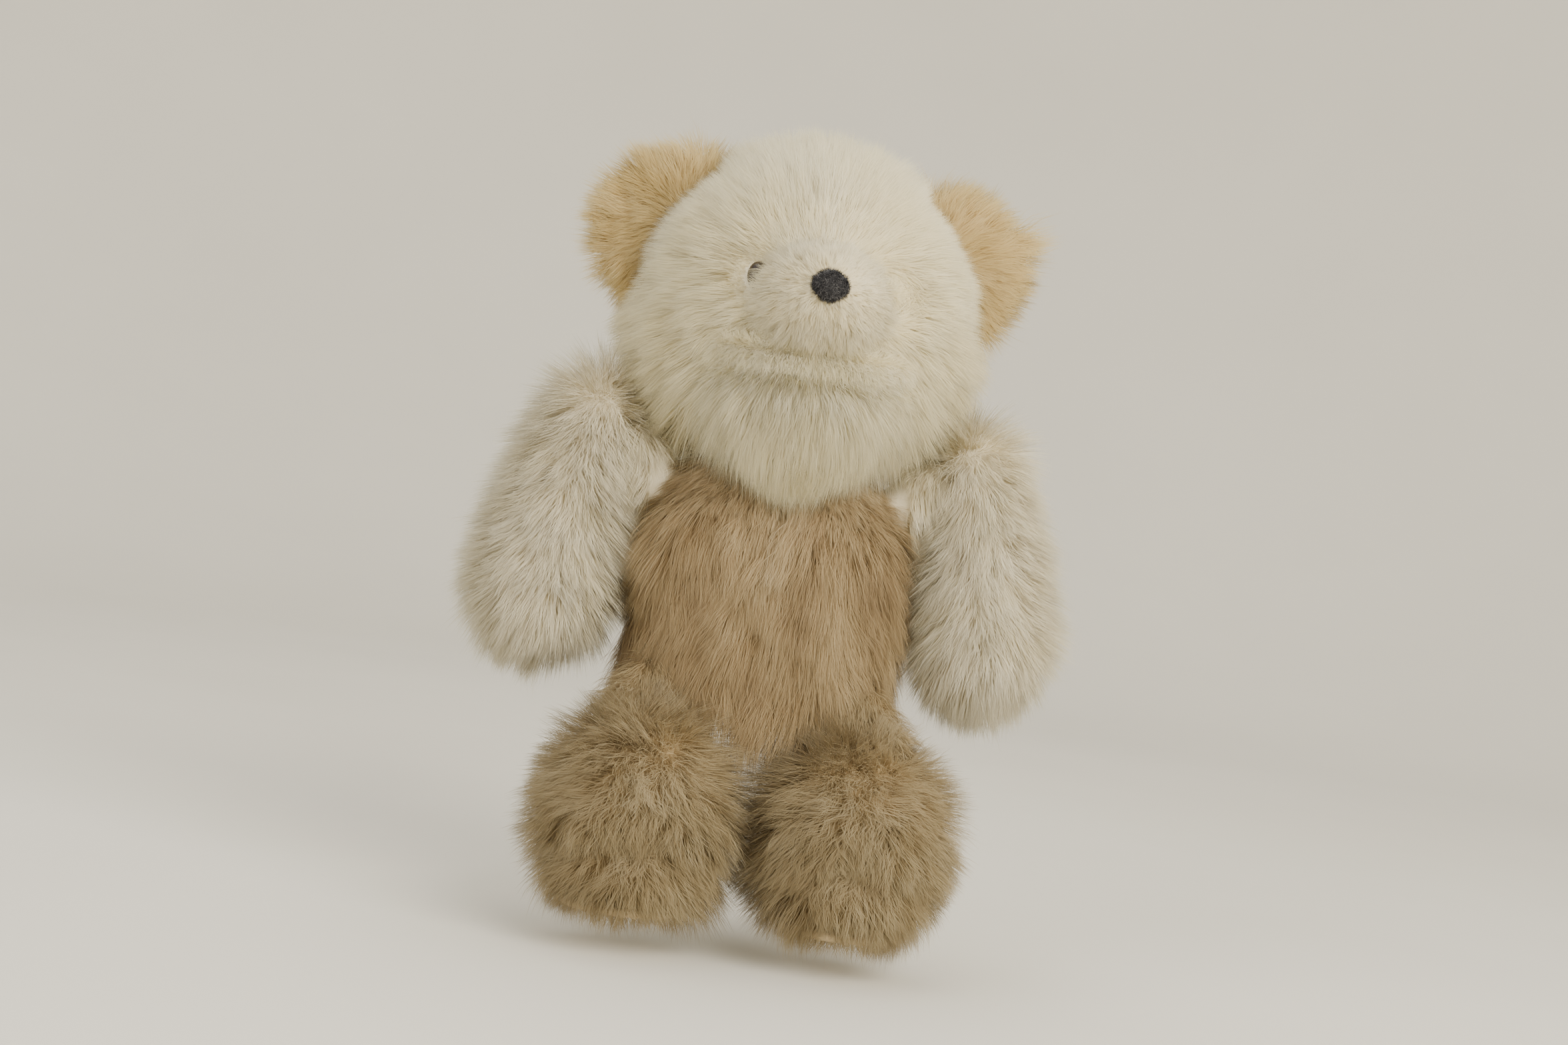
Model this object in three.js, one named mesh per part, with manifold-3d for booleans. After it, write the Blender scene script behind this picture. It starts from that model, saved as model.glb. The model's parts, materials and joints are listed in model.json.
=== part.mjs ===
// A long-haired bear hand puppet with a moving mouth. Millimetres, +Z up, the face looks along -Y.
// The origin is the centre of the wrist opening, at the lower edge of its hem.
// Fur is modelled as the thickness of its dense pile; left and right are the bear's own.
import * as THREE from 'three';
import { mergeVertices } from 'three/addons/utils/BufferGeometryUtils.js';
import Module from 'manifold-3d';

const wasm = await Module();
wasm.setup();

const gap = 0.3;
const pile = 6;
const cloth = 1.2;
const big = 400;
const fine = [28, 16];
const medium = [20, 12];
const coarse = [14, 8];

const torso = {
  outline: [[50, 0], [51, 15], [53, 38], [53, 58], [50, 70], [43, 79]],
  depthRatio: 0.7,
  top: 79,
  hemHeight: 4.5,
};
const neck = { halfWidth: 31, halfDepth: 20, wall: 2.5, bottom: 79.5, top: 84 };
const head = {
  centre: new THREE.Vector3(0, 0, 148),
  radius: 60,
  skin: 8,
  gussetHalf: 31.7,
  passageHalf: 32,
  passageBack: 18,
};
// The jaw hinges on the line y = -5 at the height z, just behind both plates.
const mouth = {
  z: 126,
  plateBack: -6,
  upperReach: 55,
  lowerReach: 48.5,
  halfWidth: 31,
  board: 2.7,
  felt: 1.5,
};
const chin = { y: -22, z: 119, radii: [31, 31, 23], rearSlope: 0.506, skin: 5 };
const muzzle = { centre: new THREE.Vector3(0, -50, 149), radii: [24.5, 26, 21.5], skin: 3 };
const nose = { z: 153.5, halfWidth: 7.4, halfHeight: 6.4, proud: 1.8, depth: 4, bevel: 0.7 };
const eye = {
  x: 23.5,
  z: 157,
  radius: 6.2,
  domeHeight: 4.9,
  shankRadius: 1.5,
  shankLength: 11,
  washerRadius: 7,
  washerDepth: 1.2,
  behind: 4.8,
};
const ear = { angle: 63, distance: 56, radius: 26, layer: 4.5, back: 6, bevel: 1.2 };
const finger = { halfWidth: 31.5, bottom: 131.3, top: 151.5, reach: 47.5, open: -8 };
const thumb = { halfWidth: 12, halfHeight: 7.4, z: 112.8, open: -16, tip: -40 };
const arm = { x: 71, z: 98, length: 62, lean: 11, topRadius: 20, endRadius: 25.5, flatness: 0.9 };
const leg = { x: 40, y: -34, top: -3.5, bottom: -72, topRadius: 26, endRadius: 33, flatness: 0.84 };
const foot = { y: -39, z: -56, radii: [31, 27, 18], sole: 3, soleRadii: [24, 19] };
const sewnEndRadius = 9;

const colours = {
  tanPelt: [0xb58a5c, 0.95],
  legPelt: [0xc79f70, 0.95],
  creamPelt: [0xe6decf, 0.95],
  earPelt: [0xb07f4e, 0.95],
  shornPelt: [0xece6da, 0.95],
  stuffing: [0xf2f0ea, 1],
  lining: [0x4a4038, 0.9],
  hide: [0xd9c7a8, 0.85],
  board: [0x8b7355, 0.8],
  mouthFelt: [0xa8424a, 0.95],
  noseFelt: [0x2e2b2c, 0.9],
  eye: [0x120d0b, 0.15],
  washer: [0x1b1b1d, 0.5],
};

// ---- solids and booleans ----

function toSolid(geometry) {
  const bare = geometry.clone();
  bare.deleteAttribute('normal');
  bare.deleteAttribute('uv');
  const merged = mergeVertices(bare, 1e-4);
  return new wasm.Manifold(new wasm.Mesh({
    numProp: 3,
    vertProperties: new Float32Array(merged.attributes.position.array),
    triVerts: new Uint32Array(merged.index.array),
  }));
}

function toGeometry(solid) {
  const mesh = solid.getMesh();
  const geometry = new THREE.BufferGeometry();
  geometry.setAttribute('position', new THREE.BufferAttribute(mesh.vertProperties, 3));
  geometry.setIndex(new THREE.BufferAttribute(mesh.triVerts, 1));
  geometry.computeVertexNormals();
  return geometry;
}

function box(low, high) {
  const size = high.map((value, i) => value - low[i]);
  const middle = high.map((value, i) => (value + low[i]) / 2);
  return toSolid(new THREE.BoxGeometry(...size).translate(...middle));
}

function ellipsoid(centre, radii, facets = medium) {
  const geometry = new THREE.SphereGeometry(1, ...facets).rotateX(Math.PI / 2);
  return toSolid(geometry.scale(...radii).translate(centre.x, centre.y, centre.z));
}

function ball(centre, radius, facets) {
  return ellipsoid(centre, [radius, radius, radius], facets);
}

// A turned body: points are [radius, height], closed onto the axis at both ends.
function turned(points, segments = 24) {
  const last = points[points.length - 1];
  const profile = [[0, points[0][1]], ...points, [0, last[1]]].map(([r, z]) => new THREE.Vector2(r, z));
  const cleaned = profile.filter((p, i) => i === 0 || p.distanceTo(profile[i - 1]) > 1e-6);
  return new THREE.LatheGeometry(cleaned, segments).rotateX(Math.PI / 2);
}

function upright(shape, bottom, top) {
  const options = { depth: top - bottom, bevelEnabled: false, curveSegments: 12 };
  return toSolid(new THREE.ExtrudeGeometry(shape, options).translate(0, 0, bottom));
}

function ellipseShape(halfWidth, halfDepth) {
  return new THREE.Shape(new THREE.EllipseCurve(0, 0, halfWidth, halfDepth).getPoints(24).slice(0, -1));
}

// ---- body ----

// inset moves the wall inwards; the ends run past the pelt where over is not 0.
function torsoBody(inset, over = 0) {
  const widest = Math.max(...torso.outline.map(([r]) => r));
  const ratio = (widest * torso.depthRatio - inset) / (widest - inset);
  const wall = torso.outline.map(([r, z]) => [r - inset, z]);
  const [firstRadius, firstZ] = wall[0];
  const [lastRadius, lastZ] = wall[wall.length - 1];
  const ends = over ? [[firstRadius, firstZ - over], ...wall, [lastRadius, lastZ + over]] : wall;
  return toSolid(turned(ends).scale(1, ratio, 1));
}

function bodyPelt(side) {
  const shell = torsoBody(0).subtract(torsoBody(pile, 20));
  const half = side === 'front'
    ? box([-big, -big, torso.hemHeight + gap], [big, -gap / 2, big])
    : box([-big, gap / 2, torso.hemHeight + gap], [big, big, big]);
  return shell.intersect(half);
}

function openingHem() {
  const ring = torsoBody(0).subtract(torsoBody(pile + gap + cloth, 20));
  return ring.intersect(box([-big, -big, -1], [big, big, torso.hemHeight]));
}

function gloveLining() {
  const tube = torsoBody(pile + gap, 20).subtract(torsoBody(pile + gap + cloth, 40));
  return tube.intersect(box([-big, -big, torso.hemHeight + gap], [big, big, torso.top - 1]));
}

function neckSleeve() {
  const { halfWidth, halfDepth, wall, bottom, top } = neck;
  const outer = upright(ellipseShape(halfWidth, halfDepth), bottom, top);
  return outer.subtract(upright(ellipseShape(halfWidth - wall, halfDepth - wall), bottom - 1, top + 1));
}

// ---- head ----

// The space in the head that the mouth, the jaw and the hand share.
function handSpace() {
  return box([-head.passageHalf, -big, -big], [head.passageHalf, head.passageBack, finger.bottom]);
}

function eyePlace(side) {
  const across = side * eye.x;
  const up = eye.z - head.centre.z;
  const base = head.radius - 5;
  const forward = -Math.sqrt(base * base - across * across - up * up);
  return head.centre.clone().add(new THREE.Vector3(across, forward, up));
}

// Turns a shape made along +Z so that it points out of the head at the eye.
function atEye(geometry, side) {
  const place = eyePlace(side);
  const out = place.clone().sub(head.centre).normalize();
  const turn = new THREE.Quaternion().setFromUnitVectors(new THREE.Vector3(0, 0, 1), out);
  return toSolid(geometry.applyQuaternion(turn).translate(place.x, place.y, place.z));
}

function rod(radius, low, high, segments = 14) {
  return turned([[radius, low], [radius, high]], segments);
}

function eyeSolid(side) {
  const dome = [0, 22, 45, 68, 90].map((degrees) => THREE.MathUtils.degToRad(degrees))
    .map((angle) => [eye.radius * Math.cos(angle), eye.domeHeight * Math.sin(angle)]);
  const shank = [[eye.shankRadius, -eye.shankLength], [eye.shankRadius, 0]];
  return atEye(turned([...shank, ...dome], 14), side);
}

function eyeWasher(side) {
  const disc = rod(eye.washerRadius, -eye.behind - eye.washerDepth, -eye.behind);
  return atEye(disc, side).subtract(atEye(rod(eye.shankRadius + 0.2, -20, 20), side));
}

function eyeRoom(side) {
  const { behind, washerDepth, washerRadius, radius, shankRadius, shankLength } = eye;
  const front = rod(radius + 4 * gap, gap - behind, 20);
  const shank = rod(shankRadius + gap, -shankLength - gap, 0);
  const washer = rod(washerRadius + gap, -behind - washerDepth - gap, gap - behind + 1);
  return atEye(front, side).add(atEye(shank, side)).add(atEye(washer, side));
}

function headPelt(part) {
  const shell = ball(head.centre, head.radius, fine)
    .subtract(ball(head.centre, head.radius - head.skin, fine))
    .subtract(handSpace());
  const edge = head.gussetHalf + gap / 2;
  const slabs = {
    gusset: box([-edge + gap, -big, -big], [edge - gap, big, big]),
    left: box([edge, -big, -big], [big, big, big]),
    right: box([-big, -big, -big], [-edge, big, big]),
  };
  return shell.intersect(slabs[part]).subtract(eyeRoom(1)).subtract(eyeRoom(-1));
}

// The wads of stuffing that fill the skull around the hand, the fingers and the eye shanks.
function headWad(part) {
  const { passageHalf, passageBack } = head;
  const roof = finger.top + gap;
  const rooms = {
    crown: box([-big, -big, roof], [big, big, big]),
    left: box([passageHalf + gap, -big, -big], [big, big, roof - gap]),
    right: box([-big, -big, -big], [-passageHalf - gap, big, roof - gap]),
    nape: box([-passageHalf, passageBack + gap, -big], [passageHalf, big, roof - gap]),
  };
  return ball(head.centre, head.radius - head.skin - 2 * gap, fine)
    .intersect(rooms[part])
    .subtract(eyeRoom(1))
    .subtract(eyeRoom(-1));
}

function muzzleDome(inset) {
  return ellipsoid(muzzle.centre, muzzle.radii.map((radius) => radius - inset));
}

function muzzlePelt() {
  return muzzleDome(0)
    .subtract(muzzleDome(muzzle.skin))
    .subtract(ball(head.centre, head.radius + gap, fine))
    .subtract(eyeRoom(1))
    .subtract(eyeRoom(-1));
}

function muzzleStuffing() {
  return muzzleDome(muzzle.skin + gap)
    .subtract(ball(head.centre, head.radius + gap, fine))
    .subtract(eyeRoom(1))
    .subtract(eyeRoom(-1));
}

function nosePad() {
  const { z, proud, depth, bevel } = nose;
  const halfWidth = nose.halfWidth - bevel;
  const halfHeight = nose.halfHeight - bevel;
  const shape = new THREE.Shape();
  shape.moveTo(0, halfHeight);
  shape.quadraticCurveTo(halfWidth * 0.75, halfHeight * 0.8, halfWidth, halfHeight * 0.12);
  shape.quadraticCurveTo(halfWidth * 0.7, -halfHeight * 0.95, 0, -halfHeight);
  shape.quadraticCurveTo(-halfWidth * 0.7, -halfHeight * 0.95, -halfWidth, halfHeight * 0.12);
  shape.quadraticCurveTo(-halfWidth * 0.75, halfHeight * 0.8, 0, halfHeight);
  const options = { depth, bevelSize: bevel, bevelThickness: bevel, bevelSegments: 2, curveSegments: 6 };
  const pad = new THREE.ExtrudeGeometry(shape, options).rotateX(Math.PI / 2);
  const [, reach, height] = muzzle.radii;
  const up = z - muzzle.centre.z;
  const forward = reach * Math.sqrt(1 - (up / height) ** 2);
  const tilt = Math.atan2(up / height ** 2, forward / reach ** 2);
  pad.translate(0, depth + bevel - proud, 0).rotateX(-tilt).translate(0, muzzle.centre.y - forward, z);
  return toSolid(pad).subtract(muzzleDome(-gap));
}

// Front and back layers of one ear, set on the side of the head.
function earLayer(side, layer) {
  const { angle, distance, radius, back, bevel } = ear;
  const turn = THREE.MathUtils.degToRad(angle) * side;
  const near = layer === 'front' ? back - ear.layer - gap / 2 : back + gap / 2;
  const disc = new THREE.ExtrudeGeometry(ellipseShape(radius, radius * 1.02), {
    depth: ear.layer - 2 * bevel, bevelSize: bevel, bevelThickness: bevel, bevelSegments: 2,
  });
  disc.translate(0, 0, bevel).rotateX(-Math.PI / 2).translate(0, near, distance).rotateY(turn);
  const { x, y, z } = head.centre;
  return toSolid(disc.translate(x, y, z)).subtract(ball(head.centre, head.radius + gap, fine));
}

// ---- mouth ----

// A mouth plate: straight sides from just in front of the hinge, then a round lip of the given reach.
function mouthPlate(reach, bottom, top) {
  const { halfWidth, plateBack } = mouth;
  const side = Math.sqrt(reach * reach - halfWidth * halfWidth);
  const start = Math.atan2(-side, -halfWidth);
  const shape = new THREE.Shape();
  shape.moveTo(halfWidth, plateBack);
  shape.lineTo(-halfWidth, plateBack);
  shape.lineTo(-halfWidth, -side);
  shape.absarc(0, 0, reach, start, -Math.PI - start, false);
  return upright(shape, bottom, top);
}

function chinBody(inset) {
  const { y, z, radii } = chin;
  const whole = ellipsoid(new THREE.Vector3(0, y, z), radii.map((radius) => radius - inset));
  const top = mouth.z - gap / 2 - mouth.felt - mouth.board - 2 * gap;
  const side = new THREE.Shape();
  side.moveTo(mouth.plateBack - chin.rearSlope * (mouth.z - top), top);
  side.lineTo(-big, top);
  side.lineTo(-big, 0);
  side.lineTo(mouth.plateBack - chin.rearSlope * mouth.z, 0);
  const wedge = new THREE.ExtrudeGeometry(side, { depth: 2 * mouth.halfWidth, bevelEnabled: false });
  wedge.applyMatrix4(new THREE.Matrix4().set(
    0, 0, 1, -mouth.halfWidth,
    1, 0, 0, 0,
    0, 1, 0, 0,
    0, 0, 0, 1,
  ));
  return whole.intersect(toSolid(wedge));
}

function chinPelt() {
  const inner = new THREE.Vector3(0, chin.y, chin.z);
  return chinBody(0).subtract(ellipsoid(inner, chin.radii.map((radius) => radius - chin.skin)));
}

// A rounded finger stall lying along Y, open towards the wrist.
function thumbStall(inset, open) {
  const { halfWidth, halfHeight, z, tip } = thumb;
  const radius = halfHeight - inset;
  const straight = Math.abs(tip - open) - halfHeight;
  const roundEnd = [];
  for (let i = 0; i <= 4; i += 1) {
    const angle = (i / 4) * Math.PI / 2;
    roundEnd.push([radius * Math.cos(angle), straight + radius * Math.sin(angle)]);
  }
  const stall = turned([[radius, 0], ...roundEnd], 16).rotateX(Math.PI / 2);
  return toSolid(stall.scale((halfWidth - inset) / radius, 1, 1).translate(0, open, z));
}

function thumbPocket() {
  return thumbStall(0, thumb.open).subtract(thumbStall(cloth, thumb.open + 2));
}

function chinStuffing() {
  return chinBody(chin.skin + gap).subtract(thumbStall(-gap, thumb.open)).subtract(thumbStall(-gap, 4));
}

function fingerPocket() {
  const { halfWidth, bottom, top, reach, open } = finger;
  const round = (radius, low, high) => upright(ellipseShape(radius, radius), low, high);
  const outer = box([-halfWidth, -reach, bottom], [halfWidth, open, top]).intersect(round(reach, 0, big));
  const inner = box(
    [-halfWidth + cloth, -reach, bottom + cloth],
    [halfWidth - cloth, open + 1, top - cloth],
  ).intersect(round(reach - cloth, 0, big));
  return outer.subtract(inner);
}

// ---- arms and legs ----

// A limb hanging down from the height 0: two round ends joined by a straight taper.
function limb(length, topRadius, endRadius, flatness, inset) {
  const points = [];
  const steps = 4;
  for (let i = 0; i <= steps; i += 1) {
    const angle = (i / steps) * Math.PI / 2;
    const radius = endRadius - inset;
    points.push([radius * Math.sin(angle), -length - radius * Math.cos(angle)]);
  }
  for (let i = 1; i <= steps; i += 1) {
    const angle = (i / steps) * Math.PI / 2;
    const radius = topRadius - inset;
    points.push([radius * Math.cos(angle), radius * Math.sin(angle)]);
  }
  const depth = (endRadius * flatness - inset) / (endRadius - inset);
  return turned(points, 16).scale(1, depth, 1);
}

function armBody(side, inset) {
  const hang = limb(arm.length, arm.topRadius, arm.endRadius, arm.flatness, inset);
  const lean = -THREE.MathUtils.degToRad(arm.lean) * side;
  return toSolid(hang.rotateY(lean).translate(arm.x * side, 0, arm.z));
}

function armPelt(side) {
  const sewnEnd = ball(new THREE.Vector3((arm.x - arm.topRadius) * side, 0, arm.z), sewnEndRadius, coarse);
  return armBody(side, 0).subtract(armBody(side, pile)).subtract(sewnEnd);
}

function armStuffing(side) {
  return armBody(side, pile + gap);
}

function legBody(side, inset) {
  const { x, y, top, bottom, topRadius, endRadius, flatness } = leg;
  const length = top - topRadius - bottom - endRadius;
  const shank = limb(length, topRadius, endRadius, flatness, inset);
  const footCentre = new THREE.Vector3(x * side, foot.y, foot.z);
  const whole = toSolid(shank.translate(x * side, y, top - topRadius))
    .add(ellipsoid(footCentre, foot.radii.map((radius) => radius - inset), coarse));
  return whole.intersect(box([-big, -big, bottom + inset], [big, big, big]));
}

function legPelt(side) {
  const sewnEnd = ball(new THREE.Vector3(leg.x * side, leg.y, leg.top), sewnEndRadius, coarse);
  return legBody(side, 0).subtract(legBody(side, pile)).subtract(sewnEnd);
}

function legStuffing(side) {
  return legBody(side, pile + gap);
}

function footSole(side) {
  const sole = upright(ellipseShape(...foot.soleRadii), leg.bottom - gap - foot.sole, leg.bottom - gap);
  return sole.translate([leg.x * side, foot.y, 0]);
}

// ---- the assembly ----

const puppet = new THREE.Group();

function addPiece(name, solid, finish) {
  const [color, roughness] = colours[finish];
  const material = new THREE.MeshStandardMaterial({ color, roughness, metalness: 0 });
  const mesh = new THREE.Mesh(toGeometry(solid), material);
  mesh.name = name;
  puppet.add(mesh);
}

addPiece('body_front_pelt', bodyPelt('front'), 'tanPelt');
addPiece('body_back_pelt', bodyPelt('back'), 'tanPelt');
addPiece('opening_hem', openingHem(), 'hide');
addPiece('glove_lining', gloveLining(), 'lining');
addPiece('neck_sleeve', neckSleeve(), 'hide');

addPiece('head_left_pelt', headPelt('left'), 'creamPelt');
addPiece('head_right_pelt', headPelt('right'), 'creamPelt');
addPiece('head_gusset_pelt', headPelt('gusset'), 'creamPelt');
addPiece('crown_stuffing', headWad('crown'), 'stuffing');
addPiece('left_cheek_stuffing', headWad('left'), 'stuffing');
addPiece('right_cheek_stuffing', headWad('right'), 'stuffing');
addPiece('nape_stuffing', headWad('nape'), 'stuffing');
addPiece('muzzle_pelt', muzzlePelt(), 'shornPelt');
addPiece('muzzle_stuffing', muzzleStuffing(), 'stuffing');
addPiece('nose_pad', nosePad(), 'noseFelt');
addPiece('finger_pocket', fingerPocket(), 'lining');

const { z: lip, board, felt } = mouth;
const upperFelt = lip + gap / 2;
const upperBoard = upperFelt + felt + gap;
const lowerFelt = lip - gap / 2 - felt;
const lowerBoard = lowerFelt - gap - board;
addPiece('upper_mouth_felt', mouthPlate(mouth.upperReach, upperFelt, upperFelt + felt), 'mouthFelt');
addPiece('upper_mouth_board', mouthPlate(mouth.upperReach - 1, upperBoard, upperBoard + board), 'board');
addPiece('lower_mouth_felt', mouthPlate(mouth.lowerReach, lowerFelt, lowerFelt + felt), 'mouthFelt');
addPiece('lower_mouth_board', mouthPlate(mouth.lowerReach - 1, lowerBoard, lowerBoard + board), 'board');
addPiece('chin_pelt', chinPelt(), 'creamPelt');
addPiece('chin_stuffing', chinStuffing(), 'stuffing');
addPiece('thumb_pocket', thumbPocket(), 'lining');

for (const [name, side] of [['left', 1], ['right', -1]]) {
  addPiece(`${name}_eye`, eyeSolid(side), 'eye');
  addPiece(`${name}_eye_washer`, eyeWasher(side), 'washer');
  addPiece(`${name}_ear_front_pelt`, earLayer(side, 'front'), 'earPelt');
  addPiece(`${name}_ear_back_pelt`, earLayer(side, 'back'), 'earPelt');
  addPiece(`${name}_arm_pelt`, armPelt(side), 'creamPelt');
  addPiece(`${name}_arm_stuffing`, armStuffing(side), 'stuffing');
  addPiece(`${name}_leg_pelt`, legPelt(side), 'legPelt');
  addPiece(`${name}_leg_stuffing`, legStuffing(side), 'stuffing');
  addPiece(`${name}_foot_sole`, footSole(side), 'hide');
}

export default puppet;
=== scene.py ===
import json
import math

import bmesh
import bpy
import numpy as np
from mathutils import Matrix, Vector, kdtree


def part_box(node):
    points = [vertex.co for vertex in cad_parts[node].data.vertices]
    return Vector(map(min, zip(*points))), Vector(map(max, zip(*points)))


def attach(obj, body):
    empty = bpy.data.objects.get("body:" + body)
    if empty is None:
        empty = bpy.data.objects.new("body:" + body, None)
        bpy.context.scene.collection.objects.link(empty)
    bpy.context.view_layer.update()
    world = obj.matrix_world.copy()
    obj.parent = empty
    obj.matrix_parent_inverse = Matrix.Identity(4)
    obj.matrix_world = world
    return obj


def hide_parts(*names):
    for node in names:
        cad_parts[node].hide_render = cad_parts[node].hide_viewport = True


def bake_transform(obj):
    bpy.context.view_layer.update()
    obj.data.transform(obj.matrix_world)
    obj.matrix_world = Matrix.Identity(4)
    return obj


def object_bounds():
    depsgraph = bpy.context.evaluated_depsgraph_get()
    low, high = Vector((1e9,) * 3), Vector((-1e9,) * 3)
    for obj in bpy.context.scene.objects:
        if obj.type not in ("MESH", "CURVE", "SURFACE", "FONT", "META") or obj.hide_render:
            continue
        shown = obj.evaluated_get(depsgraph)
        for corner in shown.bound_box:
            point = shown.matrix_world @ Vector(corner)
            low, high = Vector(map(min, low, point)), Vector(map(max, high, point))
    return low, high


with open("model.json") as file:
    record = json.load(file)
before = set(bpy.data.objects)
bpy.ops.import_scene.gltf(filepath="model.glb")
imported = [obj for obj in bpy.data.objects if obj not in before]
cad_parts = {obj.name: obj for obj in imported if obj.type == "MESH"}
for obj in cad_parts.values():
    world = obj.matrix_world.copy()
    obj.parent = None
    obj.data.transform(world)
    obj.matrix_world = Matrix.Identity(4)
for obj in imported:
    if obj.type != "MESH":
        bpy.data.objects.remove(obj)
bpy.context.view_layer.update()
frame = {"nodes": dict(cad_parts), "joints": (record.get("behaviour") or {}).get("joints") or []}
print("frame loaded")

# Sizes are worked out in millimetres, and every mesh is written in metres.
metre = 0.001
upward = np.array([0.0, 0.0, 1.0])
sides = {"left": 1, "right": -1}   # the bear's own left is at +X


def linear(code):
    # a hex colour as the linear values that a shader works in
    values = [int(code[i:i + 2], 16) / 255 for i in (0, 2, 4)]
    return [v / 12.92 if v <= 0.04045 else ((v + 0.055) / 1.055) ** 2.4 for v in values] + [1.0]


class Wire:
    # one output of a node; sums with it add Math nodes to its own material
    def __init__(self, finish, socket):
        self.finish = finish
        self.socket = socket

    def sum(self, operation, a, b):
        return self.finish.node("Math", {"operation": operation}, {0: a, 1: b})

    def __add__(self, other):
        return self.sum("ADD", self, other)

    def __radd__(self, other):
        return self.sum("ADD", other, self)

    def __sub__(self, other):
        return self.sum("SUBTRACT", self, other)

    def __rsub__(self, other):
        return self.sum("SUBTRACT", other, self)

    def __mul__(self, other):
        return self.sum("MULTIPLY", self, other)

    def __rmul__(self, other):
        return self.sum("MULTIPLY", other, self)


class Finish:
    # one material and the nodes in it
    def __init__(self, name):
        self.material = bpy.data.materials.new(name)
        self.material.use_nodes = True
        self.tree = self.material.node_tree
        self.tree.nodes.clear()

    def node(self, kind, settings=None, values=None, out=0):
        made = self.tree.nodes.new("ShaderNode" + kind)
        for key, value in (settings or {}).items():
            if key == "stops":
                ramp = made.color_ramp.elements
                while len(ramp) < len(value):
                    ramp.new(0.5)
                for element, (place, colour) in zip(ramp, value):
                    element.position = place
                    element.color = colour
            else:
                setattr(made, key, value)
        for key, value in (values or {}).items():
            if isinstance(value, Wire):
                self.tree.links.new(value.socket, made.inputs[key])
            else:
                made.inputs[key].default_value = value
        return Wire(self, made.outputs[out])

    def mix(self, share, first, second, blend="MIX"):
        settings = {"data_type": "RGBA", "blend_type": blend}
        return self.node("Mix", settings, {0: share, 6: first, 7: second}, out=2)

    def noise(self, place, scale, detail=3, roughness=0.6):
        values = {"Vector": place, "Scale": scale, "Detail": detail, "Roughness": roughness}
        return self.node("TexNoise", {}, values)

    def place(self):
        return self.node("TexCoord", out="Object")

    def bump(self, height, strength, depth):
        return self.node("Bump", {}, {"Height": height, "Strength": strength, "Distance": depth})

    def surface(self, values):
        return self.node("BsdfPrincipled", {}, values)

    def show(self, shader):
        output = self.tree.nodes.new("ShaderNodeOutputMaterial")
        self.tree.links.new(shader.socket, output.inputs["Surface"])
        return self.material


def makeCoat(name, shades, paintedRootShade, glow):
    # Fur. Across the UV map goes the tone of a strand, and up it the way from root to tip.
    finish = Finish(name)
    uv = finish.node("UVMap", {"uv_map": "OFBake"})
    tone = finish.node("SeparateXYZ", {}, {0: uv}, out="X")
    tip = finish.node("SeparateXYZ", {}, {0: uv}, out="Y")
    stretched = finish.node("Mapping", {}, {"Vector": uv, "Scale": (90.0, 2.5, 1.0)})
    streak = finish.noise(stretched, 1.0, detail=2)
    shifted = tone + (streak - 0.5) * 0.14
    stops = [(place, linear(code)) for place, code in shades]
    colour = finish.node("ValToRGB", {"stops": stops}, {0: shifted})
    # painted shade: the colour is darkened towards the root, standing in for the shade deep in the coat
    stops = [(0.0, linear(paintedRootShade)), (0.75, linear("ffffff"))]
    depth = finish.node("ValToRGB", {"stops": stops}, {0: tip})
    colour = finish.mix(1.0, colour, depth, "MULTIPLY")
    hair = finish.surface({
        "Base Color": colour,
        "Roughness": 0.62,
        "Specular IOR Level": 0.18,
        "Sheen Weight": 0.08,
        "Sheen Roughness": 0.4,
    })
    behind = finish.node("BsdfTranslucent", {}, {"Color": colour})
    return finish.show(finish.node("MixShader", {}, {0: glow, 1: hair, 2: behind}))


def makeHide(name, code, dark):
    # the hide that the fur grows from, and the suede edges
    finish = Finish(name)
    place = finish.place()
    cloud = finish.noise(place, 60.0, detail=4)
    pore = finish.noise(place, 900.0, detail=2)
    colour = finish.mix(cloud, linear(dark), linear(code))
    height = pore * 0.7 + cloud * 0.6
    return finish.show(finish.surface({
        "Base Color": colour,
        "Roughness": 0.75 + pore * 0.2,
        "Specular IOR Level": 0.25,
        "Sheen Weight": 0.2,
        "Normal": finish.bump(height, 0.5, 0.0004),
    }))


def makeFelt(name, code, dark, light):
    finish = Finish(name)
    place = finish.place()
    stretched = finish.node("Mapping", {}, {"Vector": place, "Scale": (1.0, 0.35, 1.0)})
    fibre = finish.noise(stretched, 2600.0, detail=4, roughness=0.75)
    crossed = finish.node("Mapping", {}, {"Vector": place, "Scale": (0.3, 1.0, 0.6)})
    second = finish.noise(crossed, 2100.0, detail=3)
    cloud = finish.noise(place, 140.0, detail=3)
    colour = finish.mix(cloud, linear(dark), linear(code))
    stops = [(0.5, linear("000000")), (0.72, linear("ffffff"))]
    bright = finish.node("ValToRGB", {"stops": stops}, {0: fibre})
    colour = finish.mix(bright * 0.5, colour, linear(light))
    return finish.show(finish.surface({
        "Base Color": colour,
        "Roughness": 0.85 + second * 0.12,
        "Specular IOR Level": 0.2,
        "Sheen Weight": 0.25,
        "Normal": finish.bump(fibre + second * 0.7, 0.55, 0.0004),
    }))


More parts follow.
